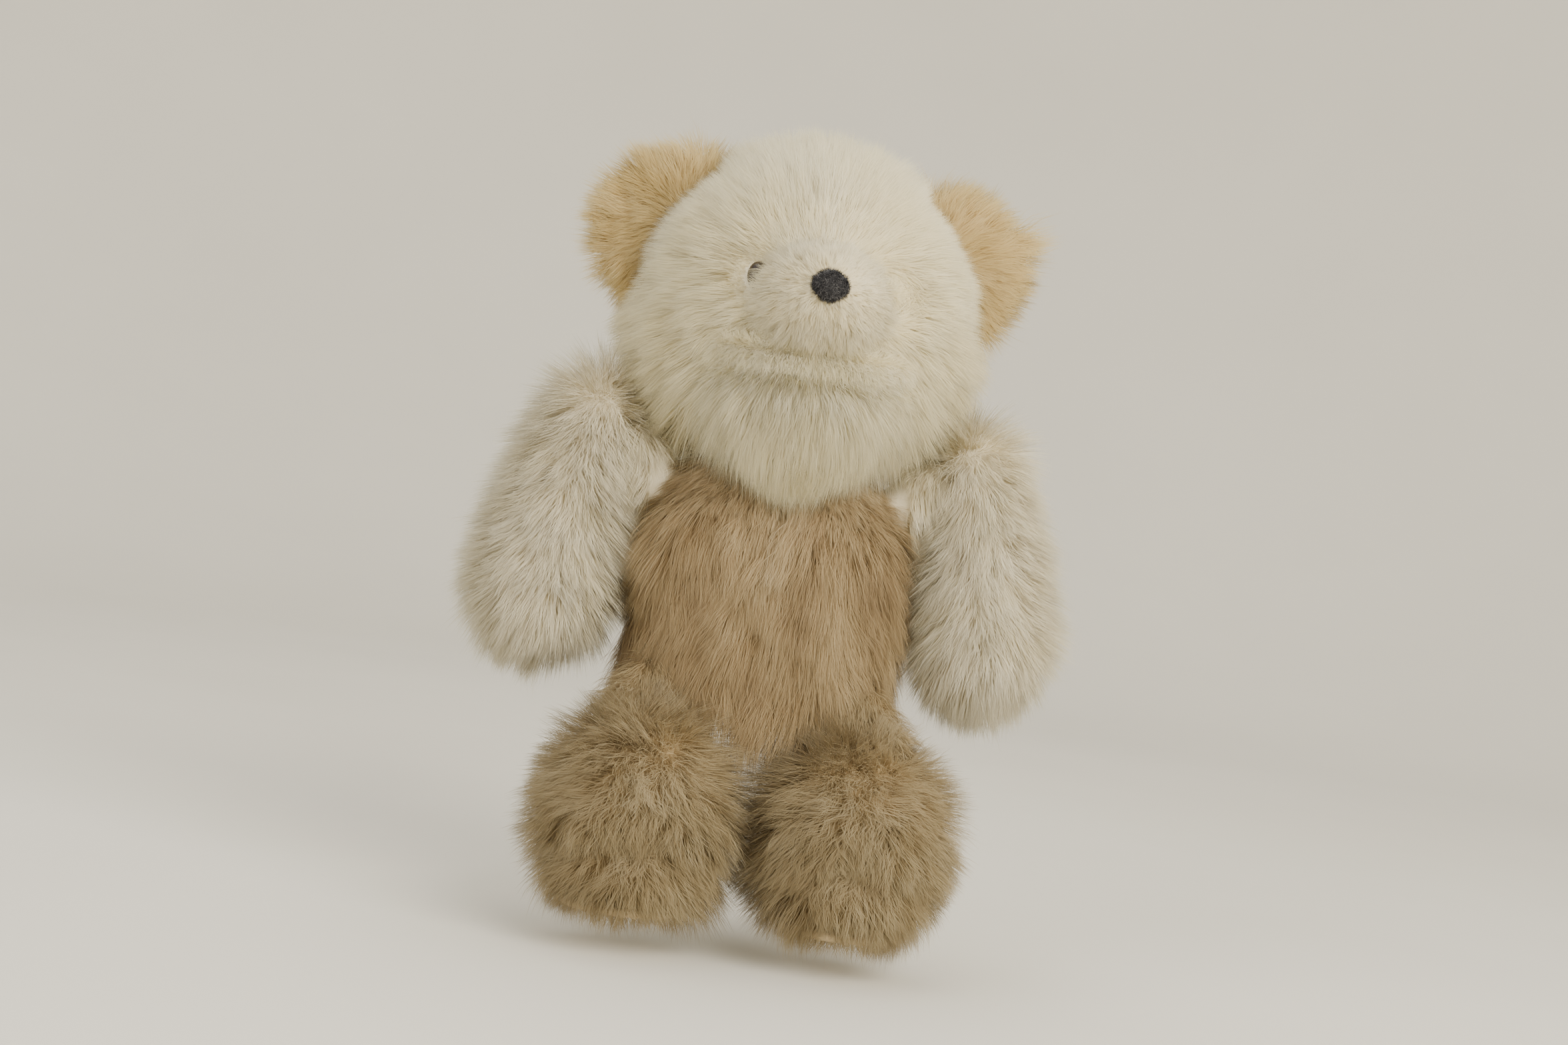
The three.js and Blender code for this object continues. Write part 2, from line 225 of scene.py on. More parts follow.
def makeWeave(name, code, dark, pitch=0.7):
    # plain woven cloth, pitch in millimetres
    finish = Finish(name)
    place = finish.place()
    wave = {"Vector": place, "Scale": 1 / (pitch * metre) / 6.28, "Distortion": 0.6}
    warp = finish.node("TexWave", {"bands_direction": "X"}, wave)
    weft = finish.node("TexWave", {"bands_direction": "Z"}, wave)
    thread = finish.node("Math", {"operation": "MAXIMUM"}, {0: warp, 1: weft})
    cloud = finish.noise(place, 90.0, detail=4)
    shade = finish.mix(thread * 0.5 + cloud * 0.5, linear(dark), linear(code))
    return finish.show(finish.surface({
        "Base Color": shade,
        "Roughness": 0.8 + cloud * 0.15,
        "Specular IOR Level": 0.25,
        "Normal": finish.bump(thread, 0.4, 0.0002),
    }))


def makeBoard(name):
    finish = Finish(name)
    place = finish.place()
    fleck = finish.noise(place, 1500.0, detail=4)
    cloud = finish.noise(place, 70.0, detail=3)
    colour = finish.mix(fleck * 0.6 + cloud * 0.4, linear("6f5a42"), linear("a08664"))
    return finish.show(finish.surface({
        "Base Color": colour,
        "Roughness": 0.7 + fleck * 0.25,
        "Normal": finish.bump(fleck, 0.35, 0.0003),
    }))


def makePlastic(name, code, roughness, coat):
    finish = Finish(name)
    place = finish.place()
    haze = finish.noise(place, 300.0, detail=5)
    swirl = finish.noise(place, 90.0, detail=2)
    return finish.show(finish.surface({
        "Base Color": finish.mix(swirl, linear(code), linear("2a1a12")),
        "Roughness": roughness + haze * 0.08,
        "Coat Weight": coat,
        "Coat Roughness": 0.04,
        "Normal": finish.bump(haze, 0.03, 0.0002),
    }))


def makeFloorFinish(name):
    finish = Finish(name)
    place = finish.place()
    cloud = finish.noise(place, 2.2, detail=3)
    tooth = finish.noise(place, 900.0, detail=2)
    colour = finish.mix(cloud, linear("cbc6b9"), linear("d6d2c6"))
    return finish.show(finish.surface({
        "Base Color": colour,
        "Roughness": 0.9,
        "Specular IOR Level": 0.1,
        "Normal": finish.bump(tooth, 0.1, 0.0003),
    }))


whiteShades = [(0.0, "ebe1ba"), (0.4, "f3eac8"), (0.75, "f8f1d4"), (1.0, "fcf7e4")]
armShades = [(0.0, "ddd4b8"), (0.4, "e5ddc2"), (0.75, "ece5cf"), (1.0, "f3eedf")]
bodyShades = [(0.0, "87745a"), (0.25, "a18b6a"), (0.5, "b39e79"), (0.75, "c4b18d"), (1.0, "dbcdae")]
legShades = [(0.0, "9a8763"), (0.3, "ab9975"), (0.6, "b9a884"), (1.0, "cfc2a3")]
earShades = [(0.0, "bfa86d"), (0.4, "d3be88"), (0.75, "e0cd9d"), (1.0, "ecdcb4")]
shornShades = [(0.0, "e6dcba"), (0.4, "eee5c6"), (1.0, "f6f0d8")]

# the third value of each coat is the painted shade at its roots
finishes = {
    "tan_fur": makeCoat("tanFur", bodyShades, "dccfb9", 0.5),
    "leg_fur": makeCoat("legFur", legShades, "e4d9c6", 0.55),
    "cream_fur": makeCoat("creamFur", whiteShades, "f8f4ea", 0.55),
    "arm_fur": makeCoat("armFur", armShades, "f5f0e6", 0.52),
    "ear_fur": makeCoat("earFur", earShades, "ecdfc8", 0.55),
    "shorn_fur": makeCoat("shornFur", shornShades, "f8f4ea", 0.5),
    "nose_fluff": makeCoat("noseFluff", [(0.0, "1d1c1d"), (0.5, "373536"), (1.0, "8a8785")], "808080", 0.15),
    "tan_hide": makeHide("tanHide", "b09b76", "96805c"),
    "leg_hide": makeHide("legHide", "a5906a", "8b7652"),
    "cream_hide": makeHide("creamHide", "dcd3bb", "cabfa3"),
    "ear_hide": makeHide("earHide", "cfae78", "b8955f"),
    "suede": makeHide("suede", "c9b48f", "ab9570"),
    "lining": makeWeave("liningCloth", "5b4e44", "3c332c"),
    "mouth_felt": makeFelt("mouthFelt", "9c3f45", "7f2f37", "c56a6c"),
    "nose_felt": makeFelt("noseFelt", "2c2b2c", "1c1b1d", "6a6866"),
    "board": makeBoard("fibreBoard"),
    "eye": makePlastic("eyePlastic", "0b0706", 0.3, 0.12),
    "thread": makeWeave("sewingThread", "d8c7a4", "a8926c", pitch=0.25),
    "washer": makePlastic("washerPlastic", "17171a", 0.45, 0.0),
    "floor": makeFloorFinish("studioFloor"),
}
print("finishes made")


def unit(vectors):
    return vectors / np.maximum(np.linalg.norm(vectors, axis=-1, keepdims=True), 1e-9)


def dot(a, b):
    return (a * b).sum(-1, keepdims=True)


def ease(low, high, value):
    t = np.clip((value - low) / (high - low), 0, 1)
    return t * t * (3 - 2 * t)


def ripple(points, size, seed):
    # smooth random values from about -1 to 1, with waves of about this size
    source = np.random.default_rng(seed)
    total = np.zeros(len(points))
    for _ in range(7):
        heading = unit(source.normal(size=3)) * 2 * math.pi / (size * source.uniform(0.7, 1.6))
        total += np.sin(points @ heading + source.uniform(0, 6.28))
    return total / 2.6


def boxOf(node):
    low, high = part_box(node)
    return np.array(low) / metre, np.array(high) / metre


def oval(wide, deep, height, around, closed=False):
    # a level ring of points; a closed one ends on its first point
    turn = np.linspace(0, 2 * math.pi, around) if closed else np.arange(around) / around * 2 * math.pi
    return np.stack([wide * np.cos(turn), deep * np.sin(turn), np.full(around, height)], 1)


def makeObject(name, points, faces, finish):
    mesh = bpy.data.meshes.new(name)
    mesh.from_pydata((np.asarray(points) * metre).tolist(), [], faces)
    mesh.materials.append(finishes[finish])
    thing = bpy.data.objects.new(name, mesh)
    bpy.context.scene.collection.objects.link(thing)
    tidyMesh(thing)
    return thing


def tidyMesh(thing):
    work = bmesh.new()
    work.from_mesh(thing.data)
    bmesh.ops.remove_doubles(work, verts=work.verts, dist=1e-6)
    bmesh.ops.recalc_face_normals(work, faces=work.faces)
    for face in work.faces:
        face.smooth = True
    work.to_mesh(thing.data)
    work.free()


def loft(name, rings, finish, closed=False, capped=True):
    # rings is an array of rings of points; a closed loft joins its last ring to its first
    rings = np.asarray(rings, float)
    count, around = rings.shape[:2]
    points = rings.reshape(-1, 3)
    faces = []
    for i in range(count if closed else count - 1):
        j = (i + 1) % count
        for k in range(around):
            n = (k + 1) % around
            faces.append([i * around + k, i * around + n, j * around + n, j * around + k])
    if capped and not closed:
        for ring in (0, count - 1):
            centre = len(points)
            points = np.vstack([points, rings[ring].mean(0)])
            for k in range(around):
                faces.append([ring * around + k, ring * around + (k + 1) % around, centre])
    return makeObject(name, points, faces, finish)


def ballMesh(name, shape, finish, detail=5):
    # shape turns an array of directions into points
    work = bmesh.new()
    bmesh.ops.create_icosphere(work, subdivisions=detail, radius=1)
    directions = unit(np.array([v.co for v in work.verts]))
    faces = [[v.index for v in face.verts] for face in work.faces]
    work.free()
    return makeObject(name, shape(directions), faces, finish)


def cut(thing, point, away):
    # removes what lies on the side that away points to, and closes the hole
    work = bmesh.new()
    work.from_mesh(thing.data)
    parts = work.verts[:] + work.edges[:] + work.faces[:]
    found = bmesh.ops.bisect_plane(
        work, geom=parts, plane_co=Vector(point) * metre, plane_no=Vector(away), clear_outer=True)
    edges = [e for e in found["geom_cut"] if isinstance(e, bmesh.types.BMEdge)]
    bmesh.ops.holes_fill(work, edges=edges, sides=0)
    work.to_mesh(thing.data)
    work.free()
    tidyMesh(thing)


def modify(thing, kind, **settings):
    added = thing.modifiers.new(kind.lower(), kind)
    for key, value in settings.items():
        setattr(added, key, value)
    with bpy.context.temp_override(object=thing, active_object=thing, selected_objects=[thing]):
        bpy.ops.object.modifier_apply(modifier=added.name)
    return thing


def smoothFaces(thing):
    thing.data.polygons.foreach_set("use_smooth", [True] * len(thing.data.polygons))


def thicken(thing, thickness, offset=0):
    modify(thing, "SOLIDIFY", thickness=thickness * metre, offset=offset)
    smoothFaces(thing)
    return thing


def strip(name, rows, finish, thickness):
    # an open sheet of cloth through rows of points
    rows = np.asarray(rows, float)
    count, across = rows.shape[:2]
    faces = []
    for i in range(count - 1):
        for k in range(across - 1):
            at = i * across + k
            faces.append([at, at + 1, at + across + 1, at + across])
    return thicken(makeObject(name, rows.reshape(-1, 3), faces, finish), thickness)


def sweep(name, line, radii, finish, around=56, facing=(0.0, 1.0, 0.0)):
    # rings along a line of points; radii holds a half width and a half depth for each point
    line = np.asarray(line, float)
    along = unit(np.gradient(line, axis=0))
    across = unit(np.cross(along, np.array(facing) * np.ones_like(along)))
    deep = np.cross(across, along)
    angle = np.arange(around) / around * 2 * math.pi
    rings = [
        centre + np.outer(np.cos(angle), a) * wide + np.outer(np.sin(angle), b) * thick
        for centre, a, b, (wide, thick) in zip(line, across, deep, radii)
    ]
    return loft(name, rings, finish)


def stitches(name, rows, thread):
    # short arched lengths of thread along each row, which is a path and the way the thread arches
    points = []
    faces = []
    for path, outward in rows:
        far = np.concatenate([[0], np.cumsum(np.linalg.norm(np.diff(path, axis=0), axis=1))])
        count = round(far[-1] / (thread["length"] + thread["gap"]))
        for start in np.arange(count) * far[-1] / count:
            at = start + np.linspace(0, 1, 7) * thread["length"]
            centre = np.stack([np.interp(at, far, path[:, k]) for k in range(3)], 1)
            out = unit(np.stack([np.interp(at, far, outward[:, k]) for k in range(3)], 1))
            arch = np.sin(np.linspace(0, math.pi, 7))[:, None] * thread["arch"]
            centre = centre + out * (arch - 0.1)
            along = unit(np.gradient(centre, axis=0))
            side = np.cross(along, out)
            first = len(points) * 6
            for middle, a, b in zip(centre, side, out):
                turn = np.arange(6) / 6 * 2 * math.pi
                ring = np.outer(np.cos(turn), a) + np.outer(np.sin(turn), b)
                points.append(middle + thread["radius"] * ring)
            for ring in range(6):
                for k in range(6):
                    low = first + ring * 6
                    n = (k + 1) % 6
                    faces.append([low + k, low + n, low + 6 + n, low + 6 + k])
            faces.append([first + k for k in range(6)])
            faces.append([first + 36 + k for k in range(6)])
    return makeObject(name, np.concatenate(points), faces, "thread")


def jointSpot(name):
    joint = next(j for j in frame["joints"] if j["name"] == name)
    return np.array(joint["pos_m"]) / metre


def scatter(skin, count, source):
    # random roots over a skin, with the skin's smooth normals
    mesh = skin.data
    mesh.calc_loop_triangles()
    points = np.empty(len(mesh.vertices) * 3, np.float32)
    mesh.vertices.foreach_get("co", points)
    normals = np.empty(len(mesh.vertices) * 3, np.float32)
    mesh.vertices.foreach_get("normal", normals)
    corners = np.empty(len(mesh.loop_triangles) * 3, np.int32)
    mesh.loop_triangles.foreach_get("vertices", corners)
    points = points.reshape(-1, 3).astype(float) / metre
    normals = normals.reshape(-1, 3).astype(float)
    a, b, c = corners.reshape(-1, 3).T
    area = np.linalg.norm(np.cross(points[b] - points[a], points[c] - points[a]), axis=1)
    pick = source.choice(len(area), count, p=area / area.sum())
    u = source.random(count)
    v = source.random(count)
    over = u + v > 1
    u[over] = 1 - u[over]
    v[over] = 1 - v[over]
    weights = np.stack([1 - u - v, u, v], 1)[..., None]
    chosen = np.stack([a[pick], b[pick], c[pick]], 1)
    return (points[chosen] * weights).sum(1), unit((normals[chosen] * weights).sum(1))


def nearestOf(roots, leaders):
    tree = kdtree.KDTree(len(leaders))
    for i, at in enumerate(roots[leaders]):
        tree.insert(at, i)
    tree.balance()
    return np.array([tree.find(at)[1] for at in roots])


def traceStrands(root, normal, flow, length, lift, style, bend):
    # the curve of each strand, as an array of points from root to tip
    segments = style["segments"]
    tangent = unit(flow - dot(flow, normal) * normal)
    across = np.cross(normal, tangent)
    place = root
    path = [root]
    for k in range(segments):
        s = (k + 0.5) / segments
        angle = lift * (1 - s) + lift * bend["tipLift"] * s
        turn = style["turns"] * 2 * math.pi * s + bend["phase"]
        heading = np.cos(angle) * tangent + np.sin(angle) * normal
        heading = heading - upward * style["droop"] * s
        heading = heading + bend["curl"] * (np.cos(turn) * across + 0.6 * np.sin(turn) * normal)
        place = place + unit(heading) * length / segments
        path.append(place)
    return np.stack(path, 1)


def bothEdges(left, right, middle):
    # what both edges of a ribbon carry at each knot, then what its tip carries
    made = np.empty((len(middle), 2 * middle.shape[1] - 1, middle.shape[2]), np.float32)
    made[:, 0:-1:2] = left[:, :-1]
    made[:, 1::2] = right[:, :-1]
    made[:, -1] = middle[:, -1]
    return made


def ribbons(name, paths, normals, tone, width, roll, finish):
    # each strand becomes a narrow tapered ribbon that faces outwards
    count, knots = paths.shape[:2]
    segments = knots - 1
    steps = np.diff(paths, axis=1)
    along = unit(np.concatenate([steps[:, :1], steps[:, 1:] + steps[:, :-1], steps[:, -1:]], 1))
    out = normals["face"][:, None, :]
    face = out - dot(out, along) * along
    spare = np.cross(along, np.broadcast_to(np.array([0.3, 0.2, 0.9]), along.shape))
    face = unit(np.where(np.linalg.norm(face, axis=-1, keepdims=True) < 0.08, spare, face))
    turned = np.cross(along, face)
    face = np.cos(roll) * face + np.sin(roll) * turned
    side = np.cross(along, face)
    s = np.linspace(0, 1, knots)[None, :, None]
    half = width[:, None, None] * (1 - 0.9 * s ** 1.7) / 2
    per = 2 * segments + 1
    points = bothEdges(paths - side * half, paths + side * half, paths)
    shading = unit(normals["shade"][:, None, :] + 0.12 * along)
    shade = bothEdges(shading, shading, shading)
    order = []
    starts = []
    for k in range(segments - 1):
        starts.append(len(order))
        order += [2 * k, 2 * k + 1, 2 * k + 3, 2 * k + 2]
    starts.append(len(order))
    order += [2 * segments - 2, 2 * segments - 1, 2 * segments]
    order = np.array(order)
    corners = (order[None] + per * np.arange(count)[:, None]).astype(np.int32)
    starts = (np.array(starts)[None] + len(order) * np.arange(count)[:, None]).astype(np.int32)
    height = np.tile(np.linspace(0, 1, knots), (count, 1))
    uv = bothEdges(*[
        np.stack([np.tile((tone + edge)[:, None], (1, knots)), height], 2) for edge in (-0.006, 0.006, 0)
    ])
    mesh = bpy.data.meshes.new(name)
    mesh.vertices.add(count * per)
    mesh.vertices.foreach_set("co", (points * metre).ravel())
    mesh.loops.add(corners.size)
    mesh.loops.foreach_set("vertex_index", corners.ravel())
    mesh.polygons.add(starts.size)
    mesh.polygons.foreach_set("loop_start", starts.ravel())
    mesh.polygons.foreach_set("use_smooth", np.ones(starts.size, bool))
    mesh.update(calc_edges=True)
    layer = mesh.uv_layers.new(name="OFBake")
    layer.data.foreach_set("uv", uv.reshape(-1, 2)[corners.ravel()].ravel())
    mesh.normals_split_custom_set_from_vertices(shade.reshape(-1, 3).tolist())
    mesh.materials.append(finishes[finish])
    thing = bpy.data.objects.new(name, mesh)
    bpy.context.scene.collection.objects.link(thing)
    return thing


furStyle = {
    "density": 2.4,        # strands on a square millimetre
    "width": 0.26,
    "segments": 4,
    "tipLift": 0.75,       # how much of its lift a strand keeps at the tip
    "droop": 0.2,
    "turns": 0.7,
    "curl": 0.2,
    "frizz": 0.2,          # how far single strands stray, in radians
    "lockMembers": 120,
    "lockPull": 0.22,
    "lockSwing": 0.14,     # how far whole locks stray, in radians
    "tuftMembers": 14,
    "tuftPull": 0.35,
    "roll": 0.7,
    "rounding": 0.2,       # how much each lock is shaded as a rounded tuft
    "uneven": 0.07,        # how much the length varies
    "toneLock": 0.04,      # how much the tone varies between locks, tufts and strands
    "toneTuft": 0.04,
    "toneStrand": 0.07,
}


def growFur(skin, seed, comb, changes):
    # comb gives the keep mask, flow, length, lift and tone, as arrays or as one value for all roots
    style = {**furStyle, **changes}
    source = np.random.default_rng(seed)
    area = sum(face.area for face in skin.data.polygons) / metre ** 2
    count = int(area * style["density"])
    roots, normals = scatter(skin, count, source)
    keep = comb(roots, normals)["keep"]
    roots = roots[keep]
    normals = normals[keep]
    combed = comb(roots, normals)
    count = len(roots)
    locks = source.choice(count, max(2, count // style["lockMembers"]), replace=False)
    tufts = source.choice(count, max(2, count // style["tuftMembers"]), replace=False)
    inLock = nearestOf(roots, locks)
    inTuft = nearestOf(roots, tufts)

    def vary(spread):
        # one share goes to whole locks, one to tufts, and one to single strands
        lockPart = source.normal(0, spread["lock"], len(locks))[inLock]
        tuftPart = source.normal(0, spread["tuft"], len(tufts))[inTuft]
        return lockPart + tuftPart + source.normal(0, spread["strand"], count)

    swing = style["lockSwing"]
    sway = vary({"lock": swing, "tuft": swing * 0.5, "strand": style["frizz"]})[:, None]
    tangent = unit(combed["flow"] - dot(combed["flow"], normals) * normals)
    across = np.cross(normals, tangent)
    flow = np.cos(sway) * tangent + np.sin(sway) * across
    uneven = style["uneven"]
    length = combed["length"] * (1 + vary({"lock": uneven * 0.6, "tuft": uneven * 0.7, "strand": uneven}))
    lift = combed["lift"] + vary({"lock": swing * 0.4, "tuft": 0.08, "strand": style["frizz"] * 0.6})
    lift = np.clip(lift, 0.05, 1.45)
    bend = {
        "phase": vary({"lock": 2.0, "tuft": 1.0, "strand": 0.8})[:, None],
        "curl": style["curl"] * (0.6 + 0.8 * source.random(count))[:, None],
        "tipLift": np.broadcast_to(combed.get("tipLift", style["tipLift"]), count)[:, None],
    }
    paths = traceStrands(
        roots, normals, flow, np.maximum(length, 0.8)[:, None], lift[:, None], style, bend)
    s = np.linspace(0, 1, style["segments"] + 1)[None, :, None]
    held = (0.35 + 0.65 * source.random(count))[:, None, None]
    paths = paths + style["tuftPull"] * held * s ** 1.2 * (paths[tufts][inTuft] - paths)
    clump = np.broadcast_to(combed.get("clump", 1.0), count)[:, None, None]
    pull = np.clip(style["lockPull"] * clump * held, 0, 0.9)
    paths = paths + pull * s ** 1.8 * (paths[locks][inLock] - paths)
    spacing = math.sqrt(style["lockMembers"] / style["density"]) / 2
    lean = (roots - roots[locks][inLock]) / spacing
    lean = lean / np.maximum(np.linalg.norm(lean, axis=1, keepdims=True), 1)
    outward = combed.get("round", normals)
    shade = unit(unit(outward) + style["rounding"] * lean)
    spread = {"lock": style["toneLock"], "tuft": style["toneTuft"], "strand": style["toneStrand"]}
    tone = combed["tone"] + vary(spread)
    return {
        "roots": roots,
        "paths": paths,
        "face": unit(outward),
        "shade": shade,
        "tone": np.clip(tone, 0.01, 0.99),
        "width": style["width"] * (0.7 + 0.6 * source.random(count)),
        "roll": (source.random(count)[:, None, None] * 2 - 1) * style["roll"],
    }


def furPiece(name, grown, finish, mask=None):
    mask = np.ones(len(grown["roots"]), bool) if mask is None else mask
    normals = {"face": grown["face"][mask], "shade": grown["shade"][mask]}
    return ribbons(
        name, grown["paths"][mask], normals, grown["tone"][mask], grown["width"][mask],
        grown["roll"][mask], finish)


def middleOf(node):
    low, high = boxOf(node)
    return (low + high) / 2


def addPart(piece, body):
    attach(piece, body)
    return piece


# The head is a ball of pelt around its stuffing, with a passage for the hand from below.

headPiece = {
    "inset": 6.0,
    "eyeHollow": 0.5,
    "eyeHollowWidth": 8.5,
    "passageHalf": 31.7,
    "passageTop": 131.2,
    "passageBack": 18.0,
    "thickness": 1.6,
    "eyeDepth": 5.0,      # how far the flat back of an eye lies under the pile
    "eyeShift": (0.5, 1.6),     # how far an eye sits inwards of its shank, and below it
    "lengths": (9.5, 17.0, 23.5, 18.5),     # beside the muzzle, round the face, cheeks and crown
    "jowlLonger": 4.0,
    "napeShorter": 6.0,
    "seamPull": 0.2,      # how far the fur beside the chin is combed in to meet it
    "earHush": 0.36,      # how much shorter the fur is that stands in front of an ear
}
headHigh = np.maximum(boxOf("head_left_pelt")[1], boxOf("head_gusset_pelt")[1])
headRadius = headHigh[0]
headCentre = np.array([0.0, 0.0, headHigh[2] - headRadius])
faceAxis = unit(np.array([0.0, -1.0, 0.02]))


def eyeSpot(side):
    # the middle of an eye's flat back, and the way that the eye looks
    inward, lower = headPiece["eyeShift"]
    shift = np.array([-sides[side] * inward, 0.0, -lower])
    look = unit(middleOf(side + "_eye_washer") + shift - headCentre)
    return headCentre + look * (headRadius - headPiece["eyeDepth"]), look


def makeHeadSkin():
    def shape(d):
        radius = np.full(len(d), headRadius - headPiece["inset"])
        for side in sides:
            near = np.arccos(np.clip(d @ eyeSpot(side)[1], -1, 1)) * radius
            radius = radius - headPiece["eyeHollow"] * np.exp(-(near / headPiece["eyeHollowWidth"]) ** 2)
        return headCentre + d * radius[:, None]

    skin = ballMesh("head_skin", shape, "cream_hide")
    half = headPiece["passageHalf"]
    top = headPiece["passageTop"]
    back = headPiece["passageBack"]
    planes = [
        ((half, 0, 0), (1, 0, 0)),
        ((-half, 0, 0), (1, 0, 0)),
        ((0, 0, top), (0, 0, 1)),
        ((0, back, 0), (0, 1, 0)),
    ]
    work = bmesh.new()
    work.from_mesh(skin.data)
    for point, away in planes:
        parts = work.verts[:] + work.edges[:] + work.faces[:]
        bmesh.ops.bisect_plane(
            work, geom=parts, plane_co=Vector(point) * metre, plane_no=Vector(away))
    gone = []
    for face in work.faces:
        x, y, z = face.calc_center_median() / metre
        if abs(x) < half and y < back and z < top:
            gone.append(face)
    bmesh.ops.delete(work, geom=gone, context="FACES")
    work.to_mesh(skin.data)
    work.free()
    tidyMesh(skin)
    return thicken(skin, headPiece["thickness"], offset=-1)


earPiece = {
    "angle": 63.0,
    "distance": 56.0,
    "back": 6.0,
    "radius": 25.0,
    "thickness": 4.2,
    "cup": 3.0,
    "length": 15.0,
    "tuft": 8.0,           # the pointed tuft on the left ear
    "style": {
        "density": 5.5, "width": 0.2, "segments": 3, "lockMembers": 80, "lockPull": 0.3, "uneven": 0.12,
    },
}


def earFrame(side):
    angle = math.radians(earPiece["angle"]) * sides[side]
    out = np.array([math.sin(angle), 0.0, math.cos(angle)])
    along = np.array([math.cos(angle), 0.0, -math.sin(angle)])
    return headCentre + out * earPiece["distance"] + np.array([0, earPiece["back"], 0]), out, along


eyeCover = {
    # how far the fur round each eye closes over it: the right eye is open, the left one is covered
    "right": {"clear": 5.5, "reach": 12.0, "length": 6.0, "closed": 0.0},
    "left": {"clear": 3.2, "reach": 14.0, "length": 14.5, "closed": 1.0},
}


def combHead(roots, normals):
    d = unit(roots - headCentre)
    angle = np.degrees(np.arccos(np.clip(d @ faceAxis, -1, 1)))
    away = dot(d, faceAxis * np.ones_like(d)) * d - faceAxis
    back = ease(70, 140, angle)[:, None]
    flow = unit(away) + upward * (-0.3 - 1.1 * back)
    near, middle, cheek, crown = headPiece["lengths"]
    full = cheek - (cheek - crown) * ease(0.3, 0.8, d[:, 2])
    length = near + (middle - near) * ease(22, 42, angle) + (full - middle) * ease(42, 78, angle)
    length = length + headPiece["jowlLonger"] * ease(-0.45, -0.8, d[:, 2])
    length = length - headPiece["napeShorter"] * ease(0.2, 0.75, d[:, 1])
    lift = np.radians(60 + 8 * ease(25, 50, angle) - 8 * ease(100, 160, angle))
    tipLift = np.full(len(d), 0.75)
    for side in sides:
        centre = earFrame(side)[0]
        across = np.linalg.norm((roots - centre) * [1, 0, 1], axis=1)
        front = (d[:, 1] < 0.1) * ease(-0.75, -0.35, d[:, 1])
        length = length * (1 - headPiece["earHush"] * ease(31, 22, across) * front)
    seam = ease(44, 33, np.abs(roots[:, 0])) * ease(132, 124, roots[:, 2]) * (roots[:, 1] < 22)
    seam = seam[:, None] * headPiece["seamPull"]
    inward = np.stack([-np.sign(roots[:, 0]), 0 * angle, -1.2 + 0 * angle], 1)
    flow = flow * (1 - seam) + inward * seam
    lip = ease(36, 28, np.abs(roots[:, 0])) * ease(144, 134, roots[:, 2]) * (roots[:, 1] < 0)
    length = length + lip
    flow = flow - upward * lip[:, None] * 0.7
    outside = dot(roots - headCentre, normals)[:, 0] > 0
    keep = outside & (np.linalg.norm(roots - headCentre, axis=1) > headRadius - headPiece["inset"] - 3.8)
    for side, cover in eyeCover.items():
        spot, look = eyeSpot(side)
        offset = roots - spot
        offset = offset - dot(offset, look * np.ones_like(d)) * look
        far = np.linalg.norm(offset, axis=1)
        front = d @ look > 0.5
        outward = unit(offset)
        share = cover["closed"] * front * ease(cover["reach"], 7, far)
        hush = (1 - cover["closed"]) * front * ease(cover["reach"], 6, far)
        flow = flow * (1 - share[:, None]) - outward * share[:, None] * 1.4
        length = length * (1 - share) + cover["length"] * share
        length = length * (1 - 0.75 * hush)
        tipLift = tipLift * (1 - share) + 0.1 * share
        keep &= ~(front & (far < cover["clear"]))
    tone = 0.6 + 0.08 * ripple(roots, 38, 5) + 0.1 * d[:, 2]
    clump = 0.5 + 2.2 * ease(-0.35, -0.75, d[:, 0]) * ease(0.5, 0.0, d[:, 2])
    return {
        "keep": keep, "flow": flow, "length": length, "lift": lift, "tone": tone, "round": d, "clump": clump,
        "tipLift": tipLift,
    }


headSkin = addPart(makeHeadSkin(), "head")
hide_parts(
    "head_left_pelt", "head_right_pelt", "head_gusset_pelt", "crown_stuffing",
    "left_cheek_stuffing", "right_cheek_stuffing", "nape_stuffing")
headFur = growFur(headSkin, 11, combHead, {
    "density": 3.5, "width": 0.22, "segments": 3, "lockPull": 0.17, "tuftPull": 0.24, "toneLock": 0.03,
})
x, y = headFur["roots"][:, 0], headFur["roots"][:, 1]
headParts = {
    "head_left_fur": x > 22,
    "head_brow_fur": (np.abs(x) <= 22) & (y < 8),
    "head_nape_fur": (np.abs(x) <= 22) & (y >= 8),
    "head_right_fur": x < -22,
}
for name, mask in headParts.items():
    addPart(furPiece(name, headFur, "cream_fur", mask), "head")
print("head made")


# The muzzle is a dome of shorn pelt on the front of the head.

muzzlePiece = {
    "centreY": -50.0,
    "inset": 1.8,
    "seamDepth": 1.0,
    "seamWidth": 1.1,
    "cutBehind": 44.0,
    "nap": 4.8,
    "edgeLonger": 2.6,
    "eyeClear": 6.6,
    "style": {
        "density": 8.0, "width": 0.2, "segments": 2, "droop": 0.1, "curl": 0.3, "lockMembers": 60,
        "lockPull": 0.16, "lockSwing": 0.35, "tuftMembers": 12, "tuftPull": 0.35, "rounding": 0.05,
        "uneven": 0.25,
    },
}
muzzleLow, muzzleHigh = boxOf("muzzle_pelt")
muzzleCentre = np.array([0.0, muzzlePiece["centreY"], (muzzleLow[2] + muzzleHigh[2]) / 2])
muzzleRadii = np.array([
    muzzleHigh[0],
    muzzleCentre[1] - muzzleLow[1],
    (muzzleHigh[2] - muzzleLow[2]) / 2,
])


